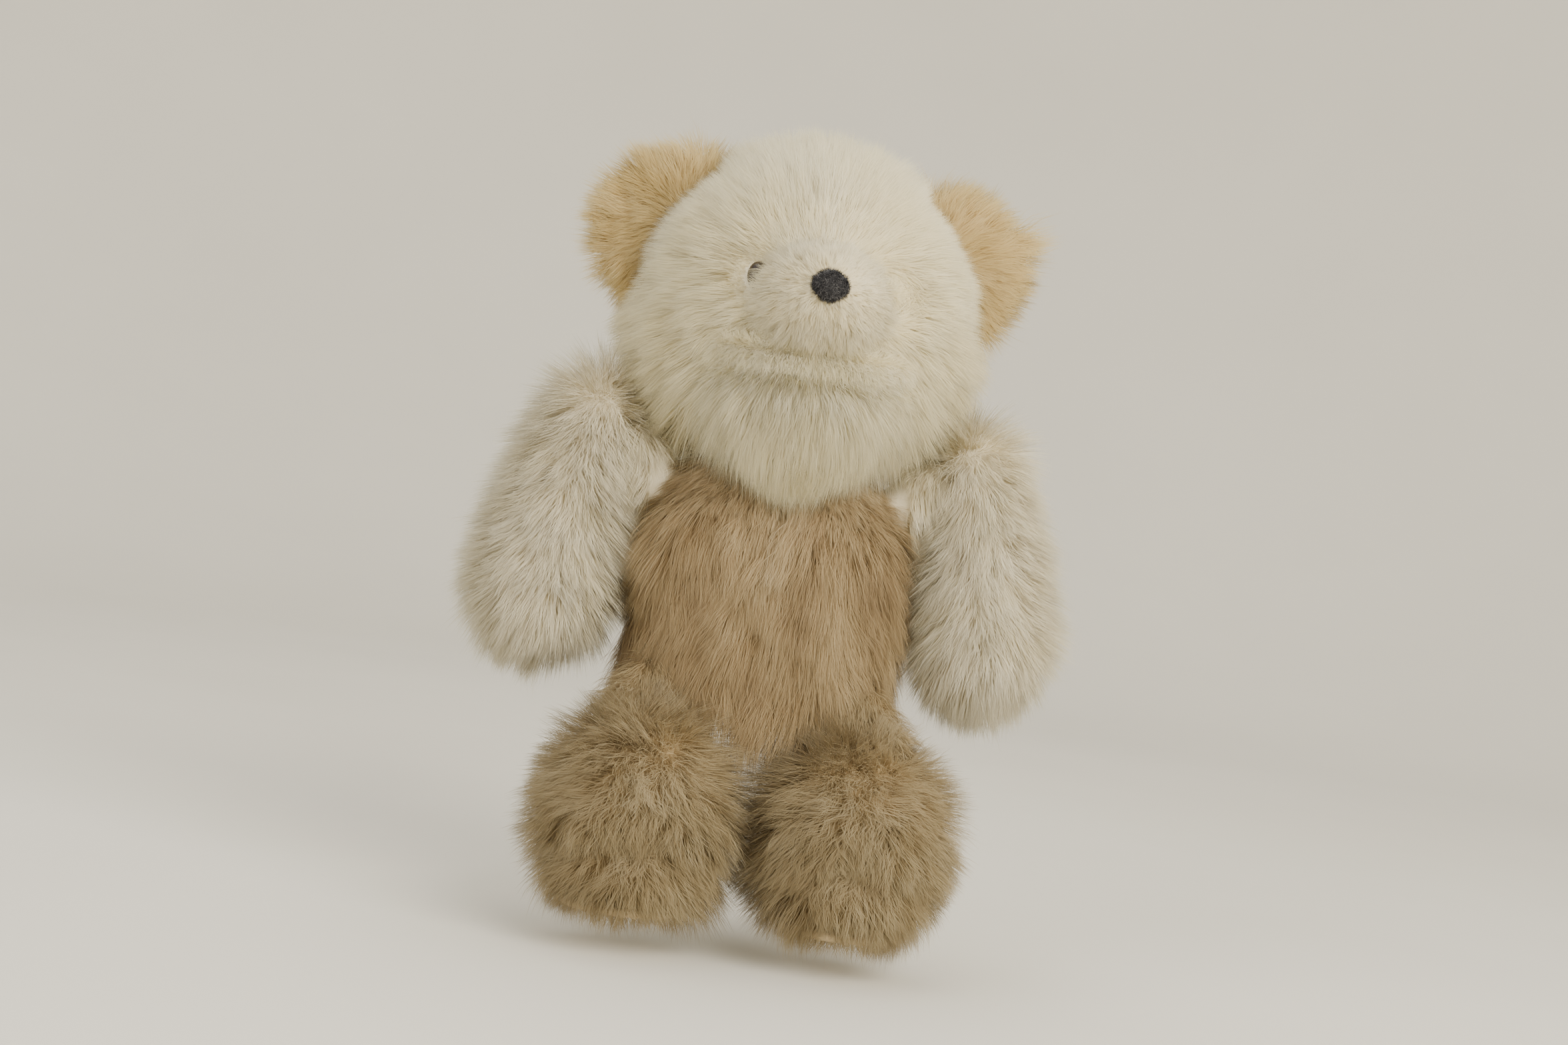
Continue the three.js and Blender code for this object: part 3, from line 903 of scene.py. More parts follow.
def makeMuzzleSkin():
    def shape(d):
        points = muzzleCentre + d * (muzzleRadii - muzzlePiece["inset"])
        x = points[:, 0]
        z = points[:, 2]
        front = ease(-0.15, -0.6, d[:, 1])
        below = ease(muzzleCentre[2] + 2, muzzleCentre[2] - 3, z)
        seam = np.exp(-(x / muzzlePiece["seamWidth"]) ** 2) * front * below
        return points - d * (muzzlePiece["seamDepth"] * seam)[:, None]

    skin = ballMesh("muzzle_skin", shape, "cream_hide")
    cut(skin, headCentre + np.array([0, -muzzlePiece["cutBehind"], 0]), (0, 1, 0))
    return skin


nosePiece = {
    "roundness": 0.05,      # how far the diamond's sides bow out
    "share": 0.85,         # felt's own size under its fluff
    "halfDepth": 2.6,
    "lift": -0.6,
    "nap": 1.7,
    "style": {
        "density": 14.0, "width": 0.16, "segments": 2, "lockMembers": 30, "lockPull": 0.1,
        "tuftMembers": 5, "tuftPull": 0.3, "frizz": 0.7, "rounding": 0.15, "toneStrand": 0.2,
    },
}
noseMiddle = middleOf("nose_pad")
noseHalf = (boxOf("nose_pad")[1] - noseMiddle) * nosePiece["share"]


def combMuzzle(roots, normals):
    inHead = np.linalg.norm(roots - headCentre, axis=1) < headRadius - 5
    noseFront = np.array([0, muzzleLow[1], noseMiddle[2]])
    offset = roots - noseFront
    away = np.linalg.norm(offset[:, [0, 2]], axis=1)
    flow = unit(offset) + upward * -0.4 + np.array([0, 0.5, 0])
    keep = ~inHead & (normals[:, 1] < 0.5) & (roots[:, 1] < -44)
    keep &= ~((away < noseHalf[2] - 1.5) & (roots[:, 1] < -64))
    for side in sides:
        keep &= np.linalg.norm(roots - eyeSpot(side)[0], axis=1) > muzzlePiece["eyeClear"]
    length = muzzlePiece["nap"] + muzzlePiece["edgeLonger"] * ease(14, 25, away)
    tone = 0.58 + 0.08 * ripple(roots, 14, 8)
    return {"keep": keep, "flow": flow, "length": length, "lift": math.radians(60), "tone": tone}


muzzleSkin = addPart(makeMuzzleSkin(), "head")
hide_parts("muzzle_pelt", "muzzle_stuffing")
muzzleFur = growFur(muzzleSkin, 12, combMuzzle, muzzlePiece["style"])
addPart(furPiece("muzzle_fur", muzzleFur, "shorn_fur"), "head")
print("muzzle made")


def makeNose():
    def shape(d):
        # a rounded diamond with a crowned face
        angle = np.arctan2(d[:, 2], d[:, 0])
        corner = 1 - nosePiece["roundness"] * np.sin(2 * angle) ** 2
        reach = np.sqrt(d[:, 0] ** 2 + d[:, 2] ** 2) * corner
        x = noseHalf[0] * reach * np.cos(angle)
        z = noseHalf[2] * reach * np.sin(angle) + nosePiece["lift"]
        y = nosePiece["halfDepth"] * np.sign(d[:, 1]) * np.abs(d[:, 1]) ** 0.75
        rough = 1 + 0.025 * ripple(d, 0.5, 6)
        return np.stack([x * rough, y, z * rough], 1)

    nose = ballMesh("nose", shape, "nose_felt", detail=5)
    up = (noseMiddle[2] - muzzleCentre[2]) / muzzleRadii[2]
    tilt = math.atan2(up / muzzleRadii[2], math.sqrt(1 - up * up) / muzzleRadii[1])
    forward = muzzleRadii[1] * math.sqrt(1 - up * up)
    place = Vector((0, muzzleCentre[1] - forward - 0.4, noseMiddle[2])) * metre
    nose.data.transform(Matrix.Translation(place) @ Matrix.Rotation(-tilt, 4, "X"))
    return nose


def combNose(roots, normals):
    sway = np.stack([ripple(roots, 3, 3), roots[:, 0] * 0, ripple(roots, 3, 4)], 1)
    return {
        "keep": normals[:, 1] < 0.3,
        "flow": normals * 0.3 + upward * -0.5 + sway,
        "length": nosePiece["nap"],
        "lift": 0.75,
        "tone": 0.4,
    }


nose = addPart(makeNose(), "head")
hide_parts("nose_pad")
noseFur = growFur(nose, 13, combNose, nosePiece["style"])
addPart(furPiece("nose_fluff", noseFur, "nose_fluff"), "head")

eyePiece = {"halfWidth": 3.6, "halfHeight": 5.2, "dome": 5.4, "back": 1.0, "slant": 26.0}


def makeEye(side):
    spot, look = eyeSpot(side)

    def shape(d):
        height = np.where(d[:, 2] > 0, eyePiece["dome"], eyePiece["back"]) * d[:, 2]
        wide = eyePiece["halfWidth"] * d[:, 0]
        tall = eyePiece["halfHeight"] * d[:, 1]
        slant = -sides[side] * math.radians(eyePiece["slant"])
        x = wide * math.cos(slant) + tall * math.sin(slant)
        y = tall * math.cos(slant) - wide * math.sin(slant)
        return np.stack([x, y, height], 1)

    eye = ballMesh(side + "_eye_dome", shape, "eye", detail=5)
    turn = Vector((0, 0, 1)).rotation_difference(Vector(look)).to_matrix().to_4x4()
    eye.data.transform(Matrix.Translation(Vector(spot) * metre) @ turn)
    return eye


for side in sides:
    eye = addPart(makeEye(side), "head")
    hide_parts(side + "_eye")
print("nose and eyes made")


# The mouth: two felt faces on stiff boards, a rolled lip along each, and a fold at the hinge.

mouthPiece = {
    "halfWidth": 31.0,
    "back": -6.0,
    "middle": (0.0, -28.0),
    "lipRadius": 2.3,
    "lipSide": 12.0,        # how far each lip runs back along the straight sides
    "foldBulge": 2.4,
    "foldHalf": 1.0,
    "upperLipFur": 9.0,
    "lowerLipFur": 13.5,
    "lipStyle": {
        "density": 11.0, "width": 0.2, "segments": 3, "droop": 0.35, "lockMembers": 60, "lockPull": 0.05,
        "tuftPull": 0.12, "lockSwing": 0.08, "frizz": 0.28, "rounding": 0.05,
    },
}
mouths = {
    # comb is how far the lip's fur is combed down, or up where it is below 0
    "upper": {"body": "head", "lipHeight": 128.6, "reach": 55.8, "comb": 0.5},
    "lower": {"body": "jaw", "lipHeight": 123.5, "reach": 49.3, "comb": -0.12},
}


def rimLine(reach, half, back, count=90):
    # the rim of a mouth plate: down one straight side, round the front and back up the other
    side = math.sqrt(reach ** 2 - half ** 2)
    bend = math.atan2(side, half)
    arc = np.linspace(-bend, bend - math.pi, count)
    front = np.stack([reach * np.cos(arc), reach * np.sin(arc)], 1)
    straight = np.linspace(back, -side, 12)[:-1]
    first = np.stack([np.full(11, half), straight], 1)
    last = np.stack([np.full(11, -half), straight[::-1]], 1)
    return np.concatenate([first, front, last])


def makeMouthFelt(where):
    low, high = boxOf(where + "_mouth_felt")
    outline = rimLine(-low[1], mouthPiece["halfWidth"], mouthPiece["back"])
    middle = np.array(mouthPiece["middle"])
    shares = [0.02, 0.25, 0.5, 0.72, 0.88, 0.96, 0.995, 1.0]
    rings = []
    for sign, order in ((1, shares), (-1, shares[::-1])):
        for share in order:
            flat = middle + (outline - middle) * share
            edge = ease(1.0, 0.94, share) * 0.35 + 0.65
            height = (low[2] + high[2]) / 2 + sign * (high[2] - low[2]) / 2 * edge
            level = np.stack([flat[:, 0], flat[:, 1], np.full(len(flat), height)], 1)
            level[:, 2] -= sign * 0.12 * np.abs(ripple(level * [1, 1, 0], 14, 91))
            rings.append(level)
    return loft(where + "_felt_face", rings, "mouth_felt")


def makeLip(where):
    made = mouths[where]
    reach = made["reach"]
    half = mouthPiece["halfWidth"] + 0.4
    side = math.sqrt(reach ** 2 - half ** 2)
    line = rimLine(reach, half, mouthPiece["lipSide"] - side)
    path = np.column_stack([line, np.full(len(line), made["lipHeight"])])
    radii = np.full((len(path), 2), mouthPiece["lipRadius"])
    radii[:6] *= np.linspace(0.3, 1, 6)[:, None]
    radii[-6:] *= np.linspace(1, 0.3, 6)[:, None]
    return sweep(where + "_lip_skin", path, radii, "cream_hide", around=14, facing=upward)


def combLip(where):
    def comb(roots, normals):
        outward = unit(roots * [1, 1, 0])
        level = mouths[where]["lipHeight"]
        flow = outward * 1.1 - upward * mouths[where]["comb"]
        length = mouthPiece[where + "LipFur"] * (0.75 + 0.25 * ease(36, 20, np.abs(roots[:, 0])))
        facing = dot(normals, outward)[:, 0]
        keep = (facing > 0.1) & (roots[:, 2] > level - 2.4)
        keep &= roots[:, 1] < -20
        tone = 0.72 + 0.06 * ripple(roots, 20, 17)
        return {
            "keep": keep, "flow": flow, "length": length, "lift": math.radians(62), "tone": tone,
            "round": unit(roots - headCentre),
        }

    return comb


for number, (where, made) in enumerate(mouths.items()):
    felt = addPart(makeMouthFelt(where), made["body"])
    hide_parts(where + "_mouth_felt")
    lip = addPart(makeLip(where), made["body"])
    lipFur = growFur(lip, 61 + number, combLip(where), mouthPiece["lipStyle"])
    addPart(furPiece(where + "_lip_fur", lipFur, "cream_fur"), made["body"])


def makeMouthFold():
    across = np.linspace(-1, 1, 40) * (mouthPiece["halfWidth"] - 0.4)
    hingeHeight = jawHinge[2]
    rows = []
    for angle in np.linspace(0, math.pi, 11):
        y = mouthPiece["back"] + mouthPiece["foldBulge"] * math.sin(angle)
        z = hingeHeight + mouthPiece["foldHalf"] * math.cos(angle)
        row = np.stack([across, np.full(40, y), np.full(40, z)], 1)
        row[:, 1] += 0.15 * ripple(row, 9, 19) * math.sin(angle)
        rows.append(row)
    return strip("mouth_fold", rows, "mouth_felt", 0.7)


jawHinge = jointSpot("jaw_open")
mouthFold = makeMouthFold()
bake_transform(mouthFold)
print("mouth made")


# The chin rides on the jaw and carries the long fur under the mouth.

chinPiece = {
    "centreY": -22.0,
    "centreZ": 119.0,
    "inset": (2.0, 3.5, 3.5),
    "rearSlope": 0.506,
    "rearGap": 1.0,
    "lengths": (20.5, 27.0),    # under the lip and at the tip of the chin
    "style": {
        "density": 5.5, "width": 0.2, "segments": 3, "droop": 0.3, "lockSwing": 0.12, "lockPull": 0.08,
        "tuftPull": 0.16, "rounding": 0.12,
    },
}
chinLow, chinHigh = boxOf("chin_pelt")
chinCentre = np.array([0.0, chinPiece["centreY"], chinPiece["centreZ"]])
chinRadii = np.array([chinHigh[0], chinCentre[1] - chinLow[1], chinCentre[2] - chinLow[2]])


def makeChinSkin():
    skin = ballMesh(
        "chin_skin", lambda d: chinCentre + d * (chinRadii - np.array(chinPiece["inset"])), "cream_hide")
    cut(skin, (0, 0, chinHigh[2]), (0, 0, 1))
    slope = unit(np.array([0.0, 1.0, -chinPiece["rearSlope"]]))
    cut(skin, (0, jawHinge[1] - chinPiece["rearGap"], jawHinge[2]), tuple(slope))
    return skin


def combChin(roots, normals):
    keep = (normals[:, 2] < 0.8) & (normals[:, 1] < 0.75) & (roots[:, 2] < chinHigh[2] - 0.2)
    forward = unit(roots - headCentre)
    low = ease(119, 100, roots[:, 2])
    middle = np.exp(-(roots[:, 0] / 16) ** 2)
    flow = upward * (-0.1 - 1.0 * low[:, None]) + forward * [1.9, 1.2, 1.2] + normals * 0.4
    top, tip = chinPiece["lengths"]
    length = top + (tip - top) * low + 3 * low * middle + 1.2 * ripple(roots, 22, 27)
    lift = np.radians(68 - 14 * low)
    tone = 0.62 + 0.1 * ease(114, 122, roots[:, 2]) + 0.07 * ripple(roots, 30, 9)
    tone = tone - 0.05 * np.exp(-(roots[:, 0] / 2.5) ** 2)
    return {"keep": keep, "flow": flow, "length": length, "lift": lift, "tone": tone, "round": forward}


chinSkin = addPart(makeChinSkin(), "jaw")
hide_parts("chin_pelt", "chin_stuffing")
chinFur = growFur(chinSkin, 14, combChin, chinPiece["style"])
addPart(furPiece("chin_fur", chinFur, "cream_fur"), "jaw")
print("chin made")


# The ears are round flat pads set on the sides of the head.

def makeEar(side):
    centre, out, along = earFrame(side)

    def shape(d):
        wide = earPiece["radius"] * d[:, 0]
        tall = earPiece["radius"] * d[:, 2]
        cup = earPiece["cup"] * (d[:, 0] ** 2 + d[:, 2] ** 2 - 0.7)
        deep = earPiece["thickness"] * np.sign(d[:, 1]) * np.abs(d[:, 1]) ** 0.8 - cup
        backward = np.array([0.0, 1.0, 0.0])
        return centre + wide[:, None] * along + tall[:, None] * out + deep[:, None] * backward

    return ballMesh(side + "_ear_skin", shape, "ear_hide", detail=4)


def combEar(side):
    centre, out, along = earFrame(side)

    def comb(roots, normals):
        outside = np.linalg.norm(roots - headCentre, axis=1) > headRadius - 6
        offset = roots - centre
        height = offset @ out
        flow = unit(offset * [1, 0.3, 1]) * 1.0 + out * 0.35 + upward * -0.3
        flow = flow + 0.3 * np.stack([ripple(roots, 14, 22), 0 * height, ripple(roots, 14, 23)], 1)
        length = earPiece["length"] + 1.5 * ripple(roots, 12, 24)
        if side == "left":
            tuft = np.exp(-((offset @ along + 1) / 5) ** 2) * ease(6, 20, height)
            length = length + earPiece["tuft"] * tuft
            flow = flow + out * tuft[:, None] * 2
        tone = 0.5 + 0.1 * ripple(roots, 16, 21)
        return {
            "keep": outside, "flow": flow, "length": length, "lift": math.radians(46), "tone": tone,
        }

    return comb


for number, side in enumerate(sides):
    ear = addPart(makeEar(side), "head")
    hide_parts(side + "_ear_front_pelt", side + "_ear_back_pelt")
    grown = growFur(ear, 31 + number, combEar(side), earPiece["style"])
    addPart(furPiece(side + "_ear_fur", grown, "ear_fur"), "head")
print("ears made")


# The body is a glove of pelt: an open tube with a cloth lining and a bound hem.

bodyPiece = {
    "inset": 5.5,
    # height against half width, both as shares of the pelt's own
    "outline": [(0.0, 0.95), (0.14, 0.965), (0.45, 1.0), (0.72, 1.0), (0.87, 0.945), (1.0, 0.81)],
    "depthRatio": 0.7,
    "thickness": 1.6,
    "length": 20.0,
    "hemLength": 10.0,      # how much longer the fur is that hangs over the hem
    "flat": (0.26, 0.075),
    "style": {
        "density": 4.0, "width": 0.2, "segments": 4, "lockMembers": 150, "lockPull": 0.3, "lockSwing": 0.2,
        "droop": 0.35, "tipLift": 0.5, "uneven": 0.12, "rounding": 0.16, "toneLock": 0.05,
        "toneTuft": 0.035, "toneStrand": 0.06,
    },
}
bodyLow = np.minimum(boxOf("body_front_pelt")[0], boxOf("body_back_pelt")[0])
bodyHigh = np.maximum(boxOf("body_front_pelt")[1], boxOf("body_back_pelt")[1])


def bodyRing(height, inset, around=96):
    shares = bodyPiece["outline"]
    share = (height - bodyLow[2]) / (bodyHigh[2] - bodyLow[2])
    wide = np.interp(share, [s for s, _ in shares], [w for _, w in shares]) * bodyHigh[0] - inset
    deep = wide * (bodyHigh[1] - inset) / (bodyHigh[0] - inset)
    return oval(wide, deep, height, around)


def makeBodySkin():
    heights = np.linspace(bodyLow[2] + 0.1, bodyHigh[2], 40)
    outer = [bodyRing(z, bodyPiece["inset"]) for z in heights]
    inner = [bodyRing(z, bodyPiece["inset"] + bodyPiece["thickness"] * 0.45) for z in heights[::-1]]
    return loft("body_skin", outer + inner, "tan_hide", closed=True)


def combBody(roots, normals):
    x, y, z = roots.T
    wide = roots * np.array([1, 1 / bodyPiece["depthRatio"] ** 2, 0])
    outside = (dot(wide, normals) > 0)[:, 0]
    part = -0.25 * np.sign(x) * np.exp(-((np.abs(x) - 12) / 12) ** 2) * ease(45, 10, z)
    flow = upward * -1.0 + np.stack([0.34 * ripple(roots, 44, 41) + x / 170 + part, 0 * x, 0 * x], 1)
    low = ease(28, 6, z)
    length = bodyPiece["length"] + 2.5 * ripple(roots, 30, 42) + bodyPiece["hemLength"] * low
    lift = np.radians(34 + 5 * ripple(roots, 24, 43) - 4 * low)
    top = ease(66, 79, z)
    length = length - 5 * top
    lift = lift + math.radians(14) * top
    streaks = np.stack([x * 3.0, y * 1.2, z * 0.5], 1)
    tone = 0.52 + 0.1 * ripple(streaks, 34, 44) + 0.07 * ripple(roots, 40, 45)
    front = ease(0, -12, y)
    tone = tone - front * 0.2 * np.exp(-((x - 30) / 13) ** 2 - ((z - 62) / 13) ** 2)
    tone = tone - front * 0.1 * np.exp(-((x - 12) / 9) ** 2 - ((z - 48) / 10) ** 2)
    tone = tone + front * 0.16 * np.exp(-((x - 17) / 4) ** 2) * ease(18, 55, z)
    tone = tone + front * 0.1 * np.exp(-((x + 12) / 7) ** 2) * ease(10, 60, z)
    tone = tone - 0.1 * np.exp(-(x / 4) ** 2) * ease(40, 8, z)
    return {"keep": outside, "flow": flow, "length": length, "lift": lift, "tone": tone}


bodySkin = addPart(makeBodySkin(), "torso")
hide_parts("body_front_pelt", "body_back_pelt")
bodyFur = growFur(bodySkin, 15, combBody, bodyPiece["style"])
x, y = bodyFur["roots"][:, 0], bodyFur["roots"][:, 1]
bodyParts = {
    "body_front_left_fur": (y < 0) & (x >= 0),
    "body_front_right_fur": (y < 0) & (x < 0),
    "body_back_left_fur": (y >= 0) & (x >= 0),
    "body_back_right_fur": (y >= 0) & (x < 0),
}
for name, mask in bodyParts.items():
    addPart(furPiece(name, bodyFur, "tan_fur", mask), "torso")

liningPiece = {"inset": 6.9, "wrinkle": 0.55, "top": 78.0, "flat": (0.25, 0.073), "cloth": 0.8}


def makeLining():
    heights = np.linspace(boxOf("glove_lining")[0][2], liningPiece["top"], 46)
    rings = []
    for z in heights:
        ring = bodyRing(z, liningPiece["inset"])
        crumple = 0.5 + 0.5 * ripple(ring * [1.0, 1.0, 2.2], 16, 93)
        rings.append(ring * (1 - liningPiece["wrinkle"] * crumple / 40)[:, None] * [1, 1, 0] + upward * z)
    return thicken(loft("lining_tube", rings, "lining", capped=False), liningPiece["cloth"])


lining = addPart(makeLining(), "torso")
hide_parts("glove_lining")

hemPiece = {
    "inset": 6.0,
    "halfThickness": 1.5,
    "halfHeight": 2.15,
    "stitch": {"length": 3.4, "gap": 2.2, "radius": 0.34, "arch": 0.45},
    "flat": (0.255, 0.010),
    "area": 0.0017,
}


def makeHem():
    low, high = boxOf("opening_hem")
    middle = (low[2] + high[2]) / 2
    turn = np.arange(120) / 120 * 2 * math.pi
    rings = []
    for angle in np.arange(20) / 20 * 2 * math.pi:
        across = np.sign(math.cos(angle)) * abs(math.cos(angle)) ** 0.6 * hemPiece["halfThickness"]
        height = np.sign(math.sin(angle)) * abs(math.sin(angle)) ** 0.6 * hemPiece["halfHeight"]
        wide = high[0] - hemPiece["inset"] + across
        deep = high[1] - hemPiece["inset"] + across
        pucker = 0.12 * np.cos(turn * 46)
        rings.append(oval(wide + pucker, deep + pucker, middle + height, 120))
    hem = loft("hem_band", rings, "suede", closed=True)
    rows = []
    for offset in (hemPiece["halfThickness"] - 0.1, -hemPiece["halfThickness"] + 0.1):
        wide = high[0] - hemPiece["inset"] + offset
        deep = high[1] - hemPiece["inset"] + offset
        path = oval(wide, deep, middle + 0.4, 400, closed=True)
        outward = unit(path * [1, 1, 0]) * np.sign(offset)
        rows.append((path, outward))
    return hem, stitches("hem_stitches", rows, hemPiece["stitch"])


hem, hemThread = makeHem()
addPart(hem, "torso")
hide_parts("opening_hem")
addPart(hemThread, "torso")
print("body made")


# The collar is a short furred tube inside the fur of the head.

collarPiece = {
    # height, half width and half depth
    "rings": [(76, 38.5, 26.5), (79, 37.5, 25.5), (82, 35.5, 22.8), (86, 33.2, 20.4), (91, 31.0, 18.6)],
    "thickness": 1.2,
    "length": 15.0,
    "start": (0.0, 0.0, 0.0785),
    "end": (0.0, 0.0, 0.0850),
    "style": {"density": 4.0, "width": 0.2, "segments": 3, "droop": 0.4},
    "flat": (0.19, 0.018),
}


def makeCollar():
    heights = np.linspace(collarPiece["rings"][0][0], collarPiece["rings"][-1][0], 16)
    table = np.array(collarPiece["rings"], float)
    rings = []
    for z in heights:
        wide = np.interp(z, table[:, 0], table[:, 1])
        deep = np.interp(z, table[:, 0], table[:, 2])
        rings.append(oval(wide, deep, z, 80))
    return thicken(loft("collar_skin", rings, "tan_hide", capped=False), collarPiece["thickness"])


def combCollar(roots, normals):
    outside = dot(roots * [1, 2, 0], normals)[:, 0] > 0
    flow = unit(roots * [1, 1, 0]) * 0.5 - upward
    return {
        "keep": outside, "flow": flow, "length": collarPiece["length"] + 1.5 * ripple(roots, 20, 97),
        "lift": math.radians(52), "tone": 0.6 + 0.1 * ripple(roots, 24, 98),
    }


collar = makeCollar()
collarFur = furPiece("collar_fur", growFur(collar, 16, combCollar, collarPiece["style"]), "tan_fur")
for piece in (collar, collarFur):
    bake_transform(piece)
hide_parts("neck_sleeve")

napePiece = {"wide": 31.2, "deep": 17.6, "low": 88.0, "high": 104.0, "flat": (0.095, 0.016)}


def makeNapeFold():
    turn = np.linspace(-0.25, math.pi + 0.25, 48)
    rows = []
    for z in np.linspace(napePiece["low"], napePiece["high"], 14):
        puff = 0.5 * math.sin(z * 1.1)
        wide = napePiece["wide"] - 0.6 + 0.3 * puff
        deep = napePiece["deep"] - 0.6 + puff * 0.4
        rows.append(np.stack([wide * np.cos(turn), deep * np.sin(turn), np.full(48, z)], 1))
    return strip("nape_fold", rows, "lining", 0.8)


napeFold = makeNapeFold()
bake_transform(napeFold)
print("collar made")


# Inside the head a cloth sock holds the fingers, and a smaller one in the chin holds the thumb.

sockPieces = {
    "finger_sock": {
        "node": "finger_pocket", "body": "head", "power": 0.42, "wrinkle": 0.5, "flat": (0.155, 0.045),
    },
    "thumb_sock": {
        "node": "thumb_pocket", "body": "jaw", "power": 0.9, "wrinkle": 0.3, "flat": (0.062, 0.027),
    },
}


def makeSock(name, sock):
    low, high = boxOf(sock["node"])
    half = (high - low) / 2 - 0.6
    centre = (low + high) / 2
    reach = -low[1] - 0.6
    turn = np.arange(72) / 72 * 2 * math.pi
    shape = np.stack([
        np.sign(np.cos(turn)) * np.abs(np.cos(turn)) ** sock["power"],
        np.sign(np.sin(turn)) * np.abs(np.sin(turn)) ** sock["power"],
    ], 1)
    rings = []
    for share in np.linspace(0, 1, 26):
        y = high[1] + (low[1] + 0.6 - high[1]) * math.sin(share * math.pi / 2)
        if sock["body"] == "head":
            wide = min(half[0], math.sqrt(max(reach ** 2 - y ** 2, 0.04)))
            tall = half[2] * math.sqrt(max(1 - ease(0.9, 1.0, share) ** 2 * 0.9, 0.02))
        else:
            end = math.sqrt(max(1 - max(0, (low[1] + half[2] - y) / half[2]) ** 2, 0.001))
            wide = half[0] * end
            tall = half[2] * end
        ring = np.stack([centre[0] + wide * shape[:, 0], np.full(72, y), centre[2] + tall * shape[:, 1]], 1)
        crumple = sock["wrinkle"] * (0.5 + 0.5 * ripple(ring * [1, 1.8, 1], 13, 95)) * ease(1, 0.9, share)
        inward = centre * [1, 0, 1] - ring * [1, 0, 1]
        rings.append(ring + unit(inward) * crumple[:, None])
    return thicken(loft(name, rings, "lining", capped=False), liningPiece["cloth"])


for name, sock in sockPieces.items():
    made = addPart(makeSock(name, sock), sock["body"])
    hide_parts(sock["node"])
print("socks made")


# Arms and legs: stuffed skins that swing on their joints, with a pelt joining each to the body.

def roundEnds(t, start, end, length):
    # radius along a limb with round ends, t from 0 to 1
    far = t * length
    middle = start + (end - start) * np.clip((far - start) / max(length - start - end, 1), 0, 1)
    first = np.sqrt(np.clip(1 - ((start - far) / start) ** 2, 0, 1)) * start
    last = np.sqrt(np.clip(1 - ((far - (length - end)) / end) ** 2, 0, 1)) * end
    radius = np.where(far < start, first, np.where(far > length - end, last, middle))
    return np.maximum(radius, 0.05)


swellPiece = {"voxel": 4.0, "pressure": 4.0, "frames": 20, "cap": 2.0, "startSmaller": 1.0}


def swell(thing):
    # cloth simulation: pressure inside the sewn skin rounds it out, as stuffing does
    modify(thing, "REMESH", mode="VOXEL", voxel_size=swellPiece["voxel"] * metre, use_smooth_shade=True)
    count = len(thing.data.vertices)
    before = np.empty(count * 3, np.float32)
    thing.data.vertices.foreach_get("co", before)
    cloth = thing.modifiers.new("cloth", "CLOTH")
    cloth.settings.use_pressure = True
    cloth.settings.uniform_pressure_force = swellPiece["pressure"]
    cloth.settings.effector_weights.gravity = 0
    cloth.point_cache.frame_start = 1
    cloth.point_cache.frame_end = swellPiece["frames"]
    for step in range(1, swellPiece["frames"] + 1):
        bpy.context.scene.frame_set(step)
    view = bpy.context.evaluated_depsgraph_get()
    after = np.empty(count * 3, np.float32)
    thing.evaluated_get(view).data.vertices.foreach_get("co", after)
    thing.modifiers.remove(cloth)
    bpy.context.scene.frame_set(1)
    move = (after - before).reshape(-1, 3)
    size = np.linalg.norm(move, axis=1, keepdims=True)
    move = move * np.minimum(1, swellPiece["cap"] * metre / np.maximum(size, 1e-9))
    print(thing.name, "swelled by up to", round(float(size.max()) / metre, 1), "mm before the cap")
    thing.data.vertices.foreach_set("co", (before.reshape(-1, 3) + move).ravel())
    thing.data.update()
    modify(thing, "SUBSURF", levels=1, render_levels=1)
    smoothFaces(thing)


armPiece = {
    "lean": 11.0,
    "length": 62.0,
    "topRadius": 20.0,
    "endRadius": 25.5,
    "inset": 3.0,
    "flatness": 0.95,
    "bow": 2.0,
    "fur": 18.5,
    "outerShorter": 2.5,
    "innerShorter": 6.0,
    "style": {
        "density": 3.2, "width": 0.22, "segments": 3, "lockSwing": 0.14, "lockPull": 0.13, "droop": 0.15,
        "uneven": 0.1, "tipLift": 0.85, "tuftPull": 0.26,
    },
}


def armLine(side):
    lean = math.radians(armPiece["lean"])
    return jointSpot(side + "_arm_swing"), np.array([math.sin(lean) * sides[side], 0.0, -math.cos(lean)])


def makeArm(side):
    top, along = armLine(side)
    less = armPiece["inset"] + swellPiece["startSmaller"]
    start = armPiece["topRadius"] - less
    end = armPiece["endRadius"] - less
    length = armPiece["length"] + start + end
    t = (1 - np.cos(np.linspace(0, math.pi, 40))) / 2
    line = top - along * start + along * (t * length)[:, None]
    bow = np.sin(t * math.pi)[:, None] * np.array([armPiece["bow"] * sides[side], 0, 0])
    radius = roundEnds(t, start, end, length)
    radii = np.stack([radius, radius * armPiece["flatness"]], 1)
    return sweep(side + "_arm_skin", line + bow, radii, "cream_hide")


def combArm(side):
    top, along = armLine(side)

    def comb(roots, normals):
        offset = roots - top
        height = offset @ along
        radial = unit(offset - height[:, None] * along)
        flow = along + radial * 0.3 - upward * 0.3
        outer = ease(0.2, 0.9, radial[:, 0] * sides[side])
        inner = ease(0.3, 0.9, -radial[:, 0] * sides[side]) * ease(64, 84, roots[:, 2])
        length = armPiece["fur"] + 1.5 * ripple(roots, 26, 51)
        length = length - armPiece["outerShorter"] * outer - armPiece["innerShorter"] * inner
        lift = np.radians(66 + 6 * ripple(roots, 20, 52))
        tone = 0.58 + 0.07 * ripple(roots, 24, 53)
        return {"keep": slice(None), "flow": flow, "length": length, "lift": lift, "tone": tone}

    return comb


